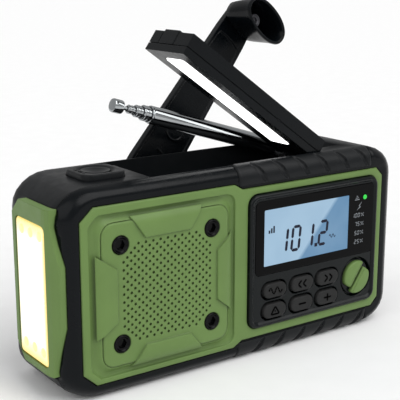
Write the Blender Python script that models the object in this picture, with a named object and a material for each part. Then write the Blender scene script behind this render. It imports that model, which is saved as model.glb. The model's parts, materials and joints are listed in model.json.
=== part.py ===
"""Emergency radio: crank dynamo, reading-lamp bar, torch end and telescopic antenna.

Numbers are millimetres in the object's own frame and are turned into metres by MM.
X runs along the body (torch at -X), Y from the front panel (-Y) to the back, Z is up.
The origin is the middle of the flat base. Every outline is in the plane it is pushed from.
"""
import bmesh
import bpy
from math import cos, pi, radians, sin, sqrt
from mathutils import Vector

MM = 0.001
GAP = 0.3                      # clearance between neighbouring pieces

# Body
MID_X = 0.5                    # middle of the black body along X
HALF_LENGTH = 76.5
MID_Z = 36.75
HALF_HEIGHT = 36.75
FRONT_Y = -20.0
BACK_Y = 20.0
SPLIT_Y = -14.3                # rear face of the front case, crest of its bezel
WALL = 2.3
CORNER_X = 15.0                # body corners are quarter ellipses
CORNER_Z = 11.0
CORNER_STEPS = 6
FRONT_REACH = 5.3              # top and underside round off over this depth of the front edge
FRONT_FALL = 5.45
END_START = -11.0              # the two ends start to round off here
END_REACH = 8.6
END_FALL = 8.2

# Green front panel
PANEL_HALF = 68.3
PANEL_LOW = 5.5
PANEL_HIGH = 67.5
PANEL_STEP = 2.1               # the control half is this much shorter top and bottom
PANEL_BACK = -18.2
POCKET_Y = -17.9
FRONT_WALL_Y = -16.2

# Speaker side
SPEAKER_X = -35.3
SPEAKER_Z = 36.3
GRILLE_HALF_X = 26.0
GRILLE_HALF_Z = 25.3
GRILLE_CORNER = 4.5
GRILLE_FACE = -21.0             # front of the perforated plate
PAD_FACE = -21.8
PADS = (                       # raised pads: axis, side, nearest and farthest from the middle
    ("X", -1, 20.0, 25.6), ("X", 1, 20.5, 25.6), ("Z", -1, 19.4, 24.9), ("Z", 1, 18.3, 24.9),
)
PAD_FAR_HALF = 14.2
PAD_NEAR_HALF = 9.5
SCREW_SPAN_X = 18.7
SCREW_SPAN_Z = 17.4

# Control side
BEZEL = (0.4, 64.8, 11.3, 62.7)        # x low, x high, z low, z high
WINDOW = (3.3, 63.5, 31.6, 59.9)
BUTTON_X = (12.5, 26.0, 39.0)
BUTTON_Z = (25.0, 17.0)
BUTTON_HALF = (5.5, 2.85)
BUTTON_TRAVEL = 0.6
KNOB_X = 54.8
KNOB_Z = 22.2
KNOB_RADIUS = 7.2
KNOB_FACE = -21.7
KNOB_GROOVE = 55.0
LCD = (6.9, 50.0, 34.4, 56.8)
CHARGE_LED = (58.1, 54.6)              # x, z

# Rubber strips on the front edge
GRIP_X = (-3.6, 62.0)
GRIP_PROUD = 0.6
GRIP_DEEP = 0.9

# Lamp bay in the top of the rear case
BAY_FLOOR = 63.0
BAY_LEFT = -37.8
BAY_RIGHT = 56.2
LANE_LEFT = -42.0
LANE_Y = 10.6                  # the antenna lane runs behind this
BAY_BACK = 17.7
DECK_Z = 73.5

# Lamp bar, built closed about its hinge
HINGE_X = 47.2
HINGE_Z = 69.75
LAMP_ANGLE = 35.2
LAMP_NEAR = -8.4
LAMP_FAR = -83.9
LAMP_Y = (-14.0, 10.2)
LAMP_TOP = 3.5
LAMP_SEAM = -1.4
LAMP_LOW = -4.5
TONGUE_Y = (-5.2, 6.3)
STRIP = (-79.0, -18.0, -8.0, 3.6)      # light strip: x low, x high, y low, y high
SOLAR_X = (-78.3, -13.7)
SOLAR_EDGE = 2.2               # from the sides of the bar

# Antenna, built stowed about its pivot
ANTENNA_X = 48.0
ANTENNA_Y = 14.1
ANTENNA_Z = 69.1
ANTENNA_ANGLE = 17.0
TUBE_SIDES = 16

# Crank, built folded flat and pointing to +X about its fold pin
CRANK_X = -25.4
CRANK_Y = 24.6
CRANK_Z = 51.5
CRANK_ANGLE = 46.6
CRANK_LEAN = 8.5
ARM_REACH = 96.0
ARM_HALF = 1.5

# Gear train
MODULE = 1.0
CRANK_TEETH = 16
PINION_TEETH = 8
IDLER_TEETH = 28
TOOTH_ROOT = (-1.1, 0.78)              # radius from the pitch circle and half width, in modules
TOOTH_TIP = (0.8, 0.32)
IDLER_BEARING = -102.0         # direction from the crank axis to the idler axis
ROTOR_BEARING = -60.0

# Torch end
END_X = -76.0                  # left face of the black body
LENS = (-12.5, 8.7, 12.5, 61.5)        # y low, y high, z low, z high

# SOS pad
SOS_X = -51.5
SOS_Y = -0.6

# Battery, port
CELL_RADIUS = 9.1
CELL = (-1.0, 64.0, 8.0, 13.3)         # x low, x high, y, z
DOOR = (-2.0, 67.0, 4.0, 25.0)
PORT = (-8.0, 6.0, 10.0, 24.5)         # y low, y high, z low, z high

AXES = {"X": (1, 2, 0), "Y": (0, 2, 1), "Z": (0, 1, 2)}


# ---------------------------------------------------------------- modelling helpers

def material(name, colour, roughness, metallic=0.0):
    """A Principled material of one colour."""
    look = bpy.data.materials.new(name)
    look.use_nodes = True
    shader = look.node_tree.nodes["Principled BSDF"]
    shader.inputs["Base Color"].default_value = (*colour, 1.0)
    shader.inputs["Roughness"].default_value = roughness
    shader.inputs["Metallic"].default_value = metallic
    look.diffuse_color = (*colour, 1.0)
    return look


def solid(name, bm):
    """Turn a bmesh in millimetres into an object in metres with outward faces."""
    bmesh.ops.remove_doubles(bm, verts=bm.verts, dist=1e-4)
    bmesh.ops.recalc_face_normals(bm, faces=bm.faces)
    bmesh.ops.scale(bm, vec=(MM, MM, MM), verts=bm.verts)
    mesh = bpy.data.meshes.new(name)
    bm.to_mesh(mesh)
    bm.free()
    piece = bpy.data.objects.new(name, mesh)
    bpy.context.scene.collection.objects.link(piece)
    return piece


def spot(axis, a, b, depth):
    """A point from its two outline coordinates and its depth along the axis."""
    i, j, k = AXES[axis]
    place = [0.0, 0.0, 0.0]
    place[i] = a
    place[j] = b
    place[k] = depth
    return place


def loft(name, axis, rings):
    """Skin a row of rings, each (depth, outline), and cap both ends."""
    bm = bmesh.new()
    rows = []
    for depth, outline in rings:
        rows.append([bm.verts.new(spot(axis, a, b, depth)) for a, b in outline])
    for low, high in zip(rows, rows[1:]):
        for n in range(len(low)):
            m = (n + 1) % len(low)
            bm.faces.new((low[n], low[m], high[m], high[n]))
    bm.faces.new(rows[0])
    bm.faces.new(rows[-1])
    return solid(name, bm)


def extrude(name, axis, outline, low, high):
    """Push an outline from low to high along the axis."""
    return loft(name, axis, [(low, outline), (high, outline)])


def box(name, low, high):
    """A block between two corners."""
    outline = rectangle(low[0], high[0], low[1], high[1])
    return extrude(name, "Z", outline, low[2], high[2])


def rectangle(a0, a1, b0, b1):
    return [(a0, b0), (a1, b0), (a1, b1), (a0, b1)]


def rounded(a0, a1, b0, b1, radius_a, radius_b=None, steps=CORNER_STEPS):
    """A rectangle whose corners are quarter ellipses."""
    radius_b = radius_a if radius_b is None else radius_b
    corners = [
        (a1 - radius_a, b1 - radius_b, 0),
        (a0 + radius_a, b1 - radius_b, 90),
        (a0 + radius_a, b0 + radius_b, 180),
        (a1 - radius_a, b0 + radius_b, 270),
    ]
    points = []
    for a, b, start in corners:
        for n in range(steps + 1):
            turn = radians(start + 90 * n / steps)
            points.append((a + radius_a * cos(turn), b + radius_b * sin(turn)))
    return points


def circle(a, b, radius, steps=24, phase=0.0):
    return [
        (a + radius * cos(2 * pi * n / steps + phase), b + radius * sin(2 * pi * n / steps + phase))
        for n in range(steps)
    ]


def rod(name, axis, a, b, radius, low, high, steps=24):
    """A round bar along the axis."""
    return extrude(name, axis, circle(a, b, radius, steps), low, high)


def turned(name, axis, a, b, profile, steps=24):
    """Turn a closed profile of (radius, depth) points about a line along the axis."""
    bm = bmesh.new()
    rows = []
    for radius, depth in profile:
        if radius == 0:
            rows.append([bm.verts.new(spot(axis, a, b, depth))])
        else:
            ring = circle(a, b, radius, steps)
            rows.append([bm.verts.new(spot(axis, p, q, depth)) for p, q in ring])
    for low, high in zip(rows, rows[1:] + rows[:1]):
        if len(low) == 1 and len(high) == 1:
            continue
        for n in range(steps):
            m = (n + 1) % steps
            if len(low) == 1:
                bm.faces.new((low[0], high[m], high[n]))
            elif len(high) == 1:
                bm.faces.new((low[n], low[m], high[0]))
            else:
                bm.faces.new((low[n], low[m], high[m], high[n]))
    return solid(name, bm)


def combine(piece, tools, operation):
    """Apply one Boolean per tool to the piece, then discard the tools."""
    for tool in tools:
        step = piece.modifiers.new(tool.name, "BOOLEAN")
        step.operation = operation
        step.solver = "EXACT"
        step.object = tool
    bpy.context.view_layer.update()
    graph = bpy.context.evaluated_depsgraph_get()
    mesh = bpy.data.meshes.new_from_object(piece.evaluated_get(graph))
    piece.modifiers.clear()
    piece.data = mesh
    for tool in tools:
        bpy.data.objects.remove(tool)
    return piece


def cut(piece, *tools):
    return combine(piece, tools, "DIFFERENCE")


def join(piece, *tools):
    return combine(piece, tools, "UNION")


def common(piece, *tools):
    return combine(piece, tools, "INTERSECT")


def finish(piece, name, look, pivot=None, smooth=None):
    """Name a piece, give it its material, and hang it on the empty that is its joint axis."""
    piece.name = name
    piece.data.name = name
    piece.data.materials.clear()
    piece.data.materials.append(look)
    if pivot is not None:
        piece.parent = pivot
    if smooth is not None:
        piece.data.shade_smooth()
        piece.data.set_sharp_from_angle(angle=radians(smooth))
    return piece


def centre_on(piece, x, y, z):
    """Move a piece's origin to a point without moving its shape."""
    shift = Vector((x, y, z)) * MM
    for vertex in piece.data.vertices:
        vertex.co -= shift
    piece.location = shift
    return piece


def pivot(name, x, y, z, turn=(0.0, 0.0, 0.0), parent=None):
    """An empty on a joint axis; turn is in degrees."""
    empty = bpy.data.objects.new(name, None)
    bpy.context.scene.collection.objects.link(empty)
    empty.location = Vector((x, y, z)) * MM
    empty.rotation_euler = [radians(angle) for angle in turn]
    empty.parent = parent
    return empty


# ---------------------------------------------------------------- body outline

def arc_inset(distance, reach, depth):
    """How far a rounded edge has fallen away, distance past the start of its rounding."""
    share = min(max(distance / reach, 0.0), 1.0)
    return depth * (1 - sqrt(1 - share * share))


def front_fall(y):
    """How far the top and the underside have rounded off at depth y of the front edge."""
    return arc_inset(SPLIT_Y - y, FRONT_REACH, FRONT_FALL)


def end_fall(y):
    """How far the two ends have rounded off at depth y of the front edge."""
    return arc_inset(END_START - y, END_REACH, END_FALL)


def body_ring(y, grow=0.0):
    """Outline of the body at depth y, rounded more towards the front and the back."""
    inset_x = end_fall(y) + arc_inset(y - 13.0, 7.0, 6.0)
    inset_z = front_fall(y) + arc_inset(y - 17.0, 3.0, 2.2)
    half_x = HALF_LENGTH - inset_x + grow
    half_z = HALF_HEIGHT - inset_z + grow
    outline = rounded(
        MID_X - half_x, MID_X + half_x, MID_Z - half_z, MID_Z + half_z,
        CORNER_X - 0.9 * inset_x, CORNER_Z - 0.9 * inset_z,
    )
    return y, outline


def panel_outline(grow=0.0):
    """Green panel: cut corners and a control half that is stepped in top and bottom."""
    left = -PANEL_HALF - grow
    right = PANEL_HALF + grow
    low = PANEL_LOW - grow
    high = PANEL_HIGH + grow
    step_start = -5.65 + 0.3 * grow
    step_end = -1.9 + 0.3 * grow
    return [
        (left + 5.2, low), (step_start, low), (step_end, low + PANEL_STEP),
        (right - 3.3, low + PANEL_STEP), (right, low + PANEL_STEP + 3.3),
        (right, high - PANEL_STEP - 3.3), (right - 3.3, high - PANEL_STEP),
        (step_end, high - PANEL_STEP), (step_start, high), (left + 5.2, high),
        (left, high - 4.7), (left, low + 4.7),
    ]


def grille_outline(grow=0.0):
    half_x = GRILLE_HALF_X + grow
    half_z = GRILLE_HALF_Z + grow
    return rounded(
        SPEAKER_X - half_x, SPEAKER_X + half_x, SPEAKER_Z - half_z, SPEAKER_Z + half_z,
        GRILLE_CORNER + grow, steps=4,
    )


def pill(x, z, half_x, half_z, steps=5):
    return rounded(x - half_x, x + half_x, z - half_z, z + half_z, half_z * 0.98, steps=steps)


def screw_spots():
    """The four grille screws, corner by corner."""
    return [
        (SPEAKER_X + side * SCREW_SPAN_X, SPEAKER_Z + up * SCREW_SPAN_Z)
        for side in (-1, 1) for up in (-1, 1)
    ]


def torch_bezel_solid(name, grow, outer, inner):
    """The green end cap: a band that follows the rounded end, trimmed to its side outline.

    outer and inner are its distances out from and in from the black surface."""
    rows = (11.0 + grow, END_START, -13.0, -15.0, -17.0, -18.4 - grow)
    back = [(END_X + end_fall(y) - outer, y) for y in rows]
    front = [(END_X + end_fall(y) + inner, y) for y in reversed(rows)]
    band = extrude(name, "Z", back + front, 5.0, 70.0)
    wide = -17.5 - grow
    narrow = -14.8 - grow
    far = 11.0 + grow
    side = extrude(name + "_side", "X", [
        (narrow, 10.0 - grow), (5.6 + grow, 10.0 - grow), (far, 16.0), (far, 62.5),
        (5.6 + grow, 67.6 + grow), (narrow, 67.6 + grow), (narrow, 61.5), (wide, 48.5),
        (wide, 27.5), (narrow, 12.0),
    ], -90.0, -60.0)
    return common(band, side)


def grip_solid(name, upper, grow):
    """A rubber strip over the rounded front edge, above or below the control half."""
    rows = (-19.2 - grow, -18.4, -17.2, -15.8, -14.7 + grow)
    crest = HALF_HEIGHT + grow + (GRIP_PROUD if upper else 0.0)
    outer = [(y, min(crest, HALF_HEIGHT - front_fall(y) + GRIP_PROUD + grow)) for y in rows]
    inner = [(y, HALF_HEIGHT - front_fall(y) - GRIP_DEEP - grow) for y in reversed(rows)]
    side = 1 if upper else -1
    section = [(y, MID_Z + side * z) for y, z in outer + inner]
    return extrude(name, "X", section, GRIP_X[0] - grow, GRIP_X[1] + grow)


# ---------------------------------------------------------------- casing

def build_front_case(looks):
    case = loft("front_case", "Y", [body_ring(y) for y in (-19.4, -18.8, -17.8, -16.2, SPLIT_Y)])
    pocket = extrude("pocket", "Y", panel_outline(GAP), FRONT_Y - 2, POCKET_Y)
    hollow = extrude(
        "hollow", "Y", rounded(-73.6, 74.6, WALL, 2 * MID_Z - WALL, 12.0, 9.0),
        FRONT_WALL_Y, SPLIT_Y + 1,
    )
    bay_wall = box("bay_wall", (-44.5, -17, 59.6), (58.6, -13, 80))
    hollow = cut(hollow, bay_wall)
    speaker_hole = rod("speaker_hole", "Y", SPEAKER_X, SPEAKER_Z, 20.5, -19, -14, 32)
    controls = extrude("controls", "Y", rounded(3.2, 62.6, 12.8, 59.0, 3), -19, -14)
    case = cut(
        case, pocket, hollow, speaker_hole, controls,
        torch_bezel_solid("torch_recess", GAP, 4.0, 1.5),
        grip_solid("grip_recess_top", True, GAP), grip_solid("grip_recess_low", False, GAP),
    )
    return finish(case, "front_case", looks["black"], smooth=40)


def knob_pocket(grow):
    """The notch at the right end where the crank knob rests, and its walls when grown."""
    return box("knob_pocket", (63.2 - grow, 7.0 - grow, 37.6 - grow), (82, 24, 63.2 + grow))


def build_rear_case(looks):
    rows = (SPLIT_Y + GAP, -12.6, -11.0, 13.0, 15.5, 17.0, 18.4, 19.4, BACK_Y)
    case = loft("rear_case", "Y", [body_ring(y) for y in rows])
    hollow = extrude(
        "hollow", "Y", rounded(-73.2, 74.2, WALL, DECK_Z - WALL, 12.5, 9.0), -16, BAY_BACK
    )
    hollow = cut(
        hollow, box("bay_block", (LANE_LEFT - 1.8, -18, BAY_FLOOR - 1.8), (58, 22, 80)),
        knob_pocket(1.7),
    )
    bay = extrude("bay", "Z", [
        (BAY_LEFT, -18), (39.4, -18), (39.4, -14), (45.2, -7.4), (BAY_RIGHT, -6.2),
        (BAY_RIGHT, BAY_BACK), (LANE_LEFT, BAY_BACK), (LANE_LEFT, LANE_Y - 0.2),
        (BAY_LEFT, LANE_Y - 0.2),
    ], BAY_FLOOR, 80)
    lug = extrude("lug", "Y", [
        (43.2, BAY_FLOOR - 1), (51.2, BAY_FLOOR - 1), (51.2, HINGE_Z), (49.6, 72.3),
        (44.8, 72.3), (43.2, HINGE_Z),
    ], TONGUE_Y[1] + 0.4, LANE_Y - 0.3)
    case = cut(case, hollow, bay)
    case = join(case, lug)
    pin_hole = rod("pin_hole", "Y", HINGE_X, HINGE_Z, 1.4, -11, LANE_Y + 1, 16)
    torch_hole = box("torch_hole", (-80, LENS[0] - 0.1, LENS[2] - 0.1), (-70, LENS[1] + 0.1, LENS[3] + 0.1))
    shaft_hole = rod("shaft_hole", "Y", CRANK_X, CRANK_Z, 2.9, 15, 24)
    door_hole = extrude("door_hole", "Y", rounded(*grown(DOOR, GAP), 2.3, steps=3), 17, 24)
    y0, y1, z0, z1 = PORT
    port_recess = extrude(
        "port_recess", "X", rounded(y0 - 0.6, y1 + 0.6, z0 - 1.2, z1 + 0.6, 1.6, steps=3), 75.3, 80
    )
    port_hole = box("port_hole", (70, PORT[0] + 1.5, PORT[2] + 2), (80, PORT[1] - 1.5, PORT[3] - 2))
    sos_recess = extrude("sos_recess", "Z", sos_outline(GAP), 72.8, 80)
    sos_hole = rod("sos_hole", "Z", SOS_X, SOS_Y, 2.9, 65, 80, 16)
    case = cut(
        case, pin_hole, torch_hole, shaft_hole, door_hole, port_recess, port_hole,
        sos_recess, sos_hole, knob_pocket(0),
        torch_bezel_solid("torch_recess", GAP, 4.0, 1.5),
    )
    for n, (x, z) in enumerate(case_screw_spots()):
        case = cut(case, rod(f"screw_recess_{n}", "Y", x, z, 3.0, 18.5, 24, 16))
    return finish(case, "rear_case", looks["black_matte"], smooth=40)


def grown(rectangle_sides, grow):
    a0, a1, b0, b1 = rectangle_sides
    return a0 - grow, a1 + grow, b0 - grow, b1 + grow


def case_screw_spots():
    return [(-64.0, 12.0), (-64.0, 61.5), (40.0, 65.5), (50.0, 33.0)]


def build_front_panel(looks):
    panel = extrude("front_panel", "Y", panel_outline(), FRONT_Y, PANEL_BACK)
    panel = cut(
        panel,
        extrude("grille_hole", "Y", grille_outline(GAP), -24, -15),
        extrude("bezel_hole", "Y", rounded(*grown(BEZEL, GAP), 4.3), -24, -15),
    )
    return finish(panel, "front_panel", looks["green"])


def build_grille(looks):
    grille = extrude("speaker_grille", "Y", grille_outline(), GRILLE_FACE, PANEL_BACK - GAP)
    pads = []
    for axis, side, near, far in PADS:
        outline = [
            (side * far, -PAD_FAR_HALF), (side * far, PAD_FAR_HALF),
            (side * near, PAD_NEAR_HALF), (side * near, -PAD_NEAR_HALF),
        ]
        if axis == "Z":
            outline = [(along, out) for out, along in outline]
        outline = [(SPEAKER_X + a, SPEAKER_Z + b) for a, b in outline]
        pads.append(extrude(f"pad_{axis}{side}", "Y", outline, PAD_FACE, FRONT_Y))
    grille = join(grille, *pads)
    holes = [
        rod(f"screw_hole_{n}", "Y", x, z, 3.2, -24, -15, 20)
        for n, (x, z) in enumerate(screw_spots())
    ]
    grille = cut(grille, *holes)
    return finish(grille, "speaker_grille", looks["green"])


def build_screws(looks):
    """The grille's round-headed screws with hex sockets."""
    face = GRILLE_FACE + 0.5
    for n, (x, z) in enumerate(screw_spots()):
        screw = rod("screw", "Y", x, z, 2.8, face, -18.5, 20)
        screw = cut(screw, extrude("socket", "Y", circle(x, z, 1.5, 6), face - 1, face + 1))
        finish(screw, f"panel_screw_{n + 1}", looks["screw"], smooth=40)


def build_grips(looks):
    for name, upper in (("grip_top", True), ("grip_bottom", False)):
        finish(grip_solid(name, upper, 0.0), name, looks["rubber"], smooth=40)


# ---------------------------------------------------------------- controls and display

def build_controls(looks):
    x0, x1, z0, z1 = BEZEL
    bezel = extrude("control_bezel", "Y", rounded(x0, x1, z0, z1, 4), FRONT_Y - 0.8, PANEL_BACK)
    holes = [extrude("window_hole", "Y", rounded(*grown(WINDOW, 0), 2.5, steps=4), -24, -15)]
    for x in BUTTON_X:
        for z in BUTTON_Z:
            outline = pill(x, z, BUTTON_HALF[0] + GAP, BUTTON_HALF[1] + GAP)
            holes.append(extrude(f"button_hole_{x}_{z}", "Y", outline, -24, -15))
    holes.append(rod("knob_hole", "Y", KNOB_X, KNOB_Z, KNOB_RADIUS + 0.6, -24, -15, 28))
    finish(cut(bezel, *holes), "control_bezel", looks["gloss_black"])

    window = extrude("display_window", "Y", rounded(*grown(WINDOW, -GAP), 2.2, steps=4), -20.3, -19.3)
    finish(window, "display_window", looks["clear"])
    lcd = extrude("lcd_panel", "Y", rectangle(*LCD), -18.9, -16.8)
    finish(lcd, "lcd_panel", looks["lcd"])
    led_profile = [(0, -18.8), (1.1, -18.4), (1.1, -16.6), (0, -16.6)]
    led = turned("charge_led", "Y", *CHARGE_LED, led_profile, 12)
    finish(led, "charge_led", looks["led_green"])

    for n, (x, z) in enumerate([(x, z) for z in BUTTON_Z for x in BUTTON_X]):
        cap = loft(f"button_{n + 1}", "Y", [
            (-21.5, pill(x, z, BUTTON_HALF[0] - 0.5, BUTTON_HALF[1] - 0.5)),
            (-21.0, pill(x, z, *BUTTON_HALF)),
            (-17.4, pill(x, z, *BUTTON_HALF)),
        ])
        flange = extrude("flange", "Y", pill(x, z, BUTTON_HALF[0] + 0.9, BUTTON_HALF[1] + 0.9), -17.8, -16.7)
        stem = rod("stem", "Y", x, z, 1.2, -17, -15.9, 12)
        cap = join(cap, flange, stem)
        centre_on(finish(cap, f"button_{n + 1}", looks["button"], smooth=40), x, -18.0, z)
    mat = box("button_mat", (6.1, -15.0, 12.9), (45.9, -13.7, 29.0))
    finish(mat, "button_mat", looks["rubber"])

    knob = turned("mode_knob", "Y", KNOB_X, KNOB_Z, [
        (0, KNOB_FACE), (KNOB_RADIUS - 0.8, KNOB_FACE), (KNOB_RADIUS, KNOB_FACE + 0.8), (KNOB_RADIUS, -18.6),
        (2.6, -18.6), (2.6, -17.4), (0, -17.4),
    ], 28)
    groove = extrude("groove", "Z", rectangle(-8, 8, -26, KNOB_FACE + 1.1), -0.6, 0.6)
    groove.location = Vector((KNOB_X, 0, KNOB_Z)) * MM
    groove.rotation_euler[1] = radians(-KNOB_GROOVE)
    knob = cut(knob, groove)
    centre_on(finish(knob, "mode_knob", looks["green"], smooth=40), KNOB_X, -20.0, KNOB_Z)
    switch = box("rotary_switch", (KNOB_X - 5, -17.0, KNOB_Z - 5), (KNOB_X + 5, -13.7, KNOB_Z + 5))
    finish(switch, "rotary_switch", looks["dark_part"])
    board = box("main_board", (1.5, -13.4, 11.0), (70.0, -11.8, 58.5))
    finish(board, "main_board", looks["board"])


def build_speaker(looks):
    frame = turned("speaker_frame", "Y", SPEAKER_X, SPEAKER_Z, [
        (21.6, -15.9), (21.6, -14.6), (20.0, -14.6), (12.0, -8.2), (12.0, -3.4), (0, -3.4),
        (0, -7.6), (9.4, -7.6), (18.6, -15.0), (19.2, -15.9),
    ], 32)
    finish(frame, "speaker_frame", looks["dark_metal"], smooth=40)
    cone = turned("speaker_cone", "Y", SPEAKER_X, SPEAKER_Z, [
        (18.4, -15.7), (8.4, -8.2), (0, -8.2), (0, -11.4), (4.0, -10.6), (6.0, -9.4), (17.4, -15.7),
    ], 32)
    finish(cone, "speaker_cone", looks["paper"], smooth=40)


# ---------------------------------------------------------------- torch end and SOS pad

def build_torch(looks):
    y0, y1, z0, z1 = LENS
    bezel = torch_bezel_solid("torch_bezel", 0.0, 1.8, 1.2)
    opening = extrude("opening", "X", rounded(*grown(LENS, 0.1), 2.0, steps=3), -90, -60)
    finish(cut(bezel, opening), "torch_bezel", looks["green"], smooth=40)
    lens = extrude("torch_lens", "X", rounded(*grown(LENS, -0.2), 1.8, steps=3), -77.5, -76.1)
    finish(lens, "torch_lens", looks["clear"])
    tray = box("torch_reflector", (-74.5, y0 + GAP, z0 + GAP), (-66.5, y1 - GAP, z1 - GAP))
    bowl = loft("bowl", "X", [
        (-77.0, rectangle(y0 + 1.2, y1 - 1.2, z0 + 1.2, z1 - 1.2)),
        (-67.6, rectangle(y0 + 4.5, y1 - 4.5, z0 + 4.5, z1 - 4.5)),
    ])
    finish(cut(tray, bowl), "torch_reflector", looks["mirror"])
    board = box("torch_led_board", (-66.2, y0 + 1, z0 + 1), (-64.6, y1 - 1, z1 - 1))
    finish(board, "torch_led_board", looks["board"])


def sos_outline(grow):
    return rounded(
        SOS_X - 8.4 - grow, SOS_X + 8.4 + grow, SOS_Y - 8.6 - grow, SOS_Y + 8.6 + grow,
        4.2 + grow, steps=4,
    )


def build_sos(looks):
    base = loft("sos_base", "Z", [
        (73.1, sos_outline(0)), (75.2, sos_outline(0)), (75.6, sos_outline(-0.5))
    ])
    base = cut(base, rod("dish_hole", "Z", SOS_X, SOS_Y, 5.7, 70, 80))
    finish(base, "sos_base", looks["rubber"], smooth=40)
    button = turned("sos_button", "Z", SOS_X, SOS_Y, [
        (0, 75.0), (3.4, 75.2), (4.8, 75.6), (5.3, 75.3), (5.3, 74.0), (2.5, 74.0), (2.5, 69.2), (0, 69.2),
    ])
    centre_on(finish(button, "sos_button", looks["rubber"], smooth=40), SOS_X, SOS_Y, 73.5)


# ---------------------------------------------------------------- lamp bar

def build_lamp(looks):
    hinge = pivot("lamp_axis", HINGE_X, 0, HINGE_Z, (0, LAMP_ANGLE, 0))
    y0, y1 = LAMP_Y
    cover = box("lamp_cover", (LAMP_FAR, y0, LAMP_SEAM), (LAMP_NEAR, y1, LAMP_TOP))
    tongue = extrude("tongue", "Y", [
        (LAMP_NEAR - 1, LAMP_SEAM), (-2.6, LAMP_SEAM - 0.4), (-1.2, -2.9), (1.2, -2.9), (2.9, -1.2),
        (2.9, 1.2), (1.4, 3.3), (-1.0, LAMP_TOP), (LAMP_NEAR - 1, LAMP_TOP),
    ], *TONGUE_Y)
    cover = join(cover, tongue)
    cover = cut(
        cover,
        box("cover_hollow", (LAMP_FAR + 6.5, y0 + 1.6, -4), (LAMP_NEAR - 1.8, y1 - 1.6, 1.2)),
        box("solar_recess", (SOLAR_X[0], y0 + SOLAR_EDGE, 2.4), (SOLAR_X[1], y1 - SOLAR_EDGE, 8)),
        box("latch_slot", (LAMP_FAR - 2, -5.2, LAMP_SEAM - 1), (LAMP_FAR + 4.6, 4.6, 8)),
        rod("pin_bore", "Y", 0, 0, 1.5, -20, 20, 16),
    )
    finish(cover, "lamp_cover", looks["black"], hinge)
    frame = box("lamp_frame", (LAMP_FAR, y0, LAMP_LOW), (LAMP_NEAR, y1, LAMP_SEAM - 0.3))
    frame = cut(
        frame,
        box("frame_hollow", (LAMP_FAR + 2, y0 + 1.6, -3.0), (LAMP_NEAR - 1.8, y1 - 1.6, 0)),
        extrude("strip_hole", "Z", rounded(*STRIP, 1.5, steps=3), -8, 0),
    )
    finish(frame, "lamp_frame", looks["black"], hinge)
    diffuser = extrude("lamp_diffuser", "Z", rounded(*grown(STRIP, -0.25), 1.3, steps=3), -4.4, -2.2)
    finish(diffuser, "lamp_diffuser", looks["glow"], hinge)
    board = box("lamp_led_board", (-76.0, -8.5, -0.9), (-16.0, 4.5, 0.7))
    finish(board, "lamp_led_board", looks["board"], hinge)
    inset = SOLAR_EDGE + GAP
    solar = box(
        "solar_panel", (SOLAR_X[0] + GAP, y0 + inset, 2.7), (SOLAR_X[1] - GAP, y1 - inset, LAMP_TOP)
    )
    finish(solar, "solar_panel", looks["solar"], hinge)
    latch_axis = pivot("latch_axis", LAMP_FAR, 0, 0, parent=hinge)
    latch = extrude("lamp_latch", "Y", [
        (-0.1, LAMP_SEAM), (2.8, LAMP_SEAM), (2.8, 3.4), (1.6, 4.3), (-0.1, 4.3)
    ], -4.9, 4.3)
    finish(latch, "lamp_latch", looks["black"], latch_axis)
    pin = rod("lamp_hinge_pin", "Y", HINGE_X, HINGE_Z, 1.1, -9.6, LANE_Y - 0.5, 16)
    finish(pin, "lamp_hinge_pin", looks["steel"], smooth=40)


# ---------------------------------------------------------------- antenna

def build_antenna(looks):
    base = box("antenna_bracket", (43.4, LANE_Y + 0.3, BAY_FLOOR + GAP), (52.6, 17.3, 64.8))
    for n, (low, high) in enumerate(((LANE_Y + 0.3, 12.6), (15.6, 17.3))):
        ear = extrude(f"ear_{n}", "Y", [
            (44.6, 64), (51.4, 64), (51.2, 70.2), (49.6, 72.2), (46.4, 72.2), (44.8, 70.2)
        ], low, high)
        base = join(base, ear)
    base = cut(base, rod("pin_hole", "Y", ANTENNA_X, ANTENNA_Z, 1.4, 9, 19, 16))
    finish(base, "antenna_bracket", looks["steel"])
    pin = rod("antenna_pin", "Y", ANTENNA_X, ANTENNA_Z, 1.1, LANE_Y + 0.4, 17.2, 16)
    finish(pin, "antenna_pin", looks["steel"], smooth=40)

    raise_axis = pivot("antenna_axis", ANTENNA_X, ANTENNA_Y, ANTENNA_Z, (0, ANTENNA_ANGLE, 0))
    outer, inner, end = 3.4, 2.95, -71.6
    tube = turned("antenna_tube", "X", 0, 0, [
        (outer, -5.6), (outer, end), (inner, end), (inner, -9.0), (0, -9.0), (0, -5.6)
    ], TUBE_SIDES)
    knuckle = extrude("knuckle", "Y", [
        (-8, -2.2), (1.4, -2.2), (2.4, -1), (2.4, 1), (1.4, 2.2), (-8, 2.2)
    ], -1.2, 1.2)
    tube = join(tube, knuckle)
    tube = cut(tube, rod("eye", "Y", 0, 0, 1.4, -3, 3, 16))
    finish(tube, "antenna_tube", looks["chrome"], raise_axis, smooth=30)
    for n in range(3):
        outer = 2.7 - 0.65 * n
        inner = outer - 0.4
        end = -74.8 - 3.2 * n
        start = -10.5 - 1.5 * n
        section = turned(f"antenna_section_{n + 1}", "X", 0, 0, [
            (outer, start), (outer, end), (inner, end), (inner, start)
        ], TUBE_SIDES)
        finish(section, f"antenna_section_{n + 1}", looks["chrome"], raise_axis, smooth=30)
    tip = turned("antenna_tip", "X", 0, 0, [
        (0, -87.7), (2.2, -87.7), (2.6, -87.2), (2.6, -84.0), (2.2, -83.4), (0.75, -83.0),
        (0.75, -16.0), (0, -16.0),
    ], TUBE_SIDES)
    finish(tip, "antenna_tip", looks["chrome"], raise_axis, smooth=30)


# ---------------------------------------------------------------- crank and dynamo

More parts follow.
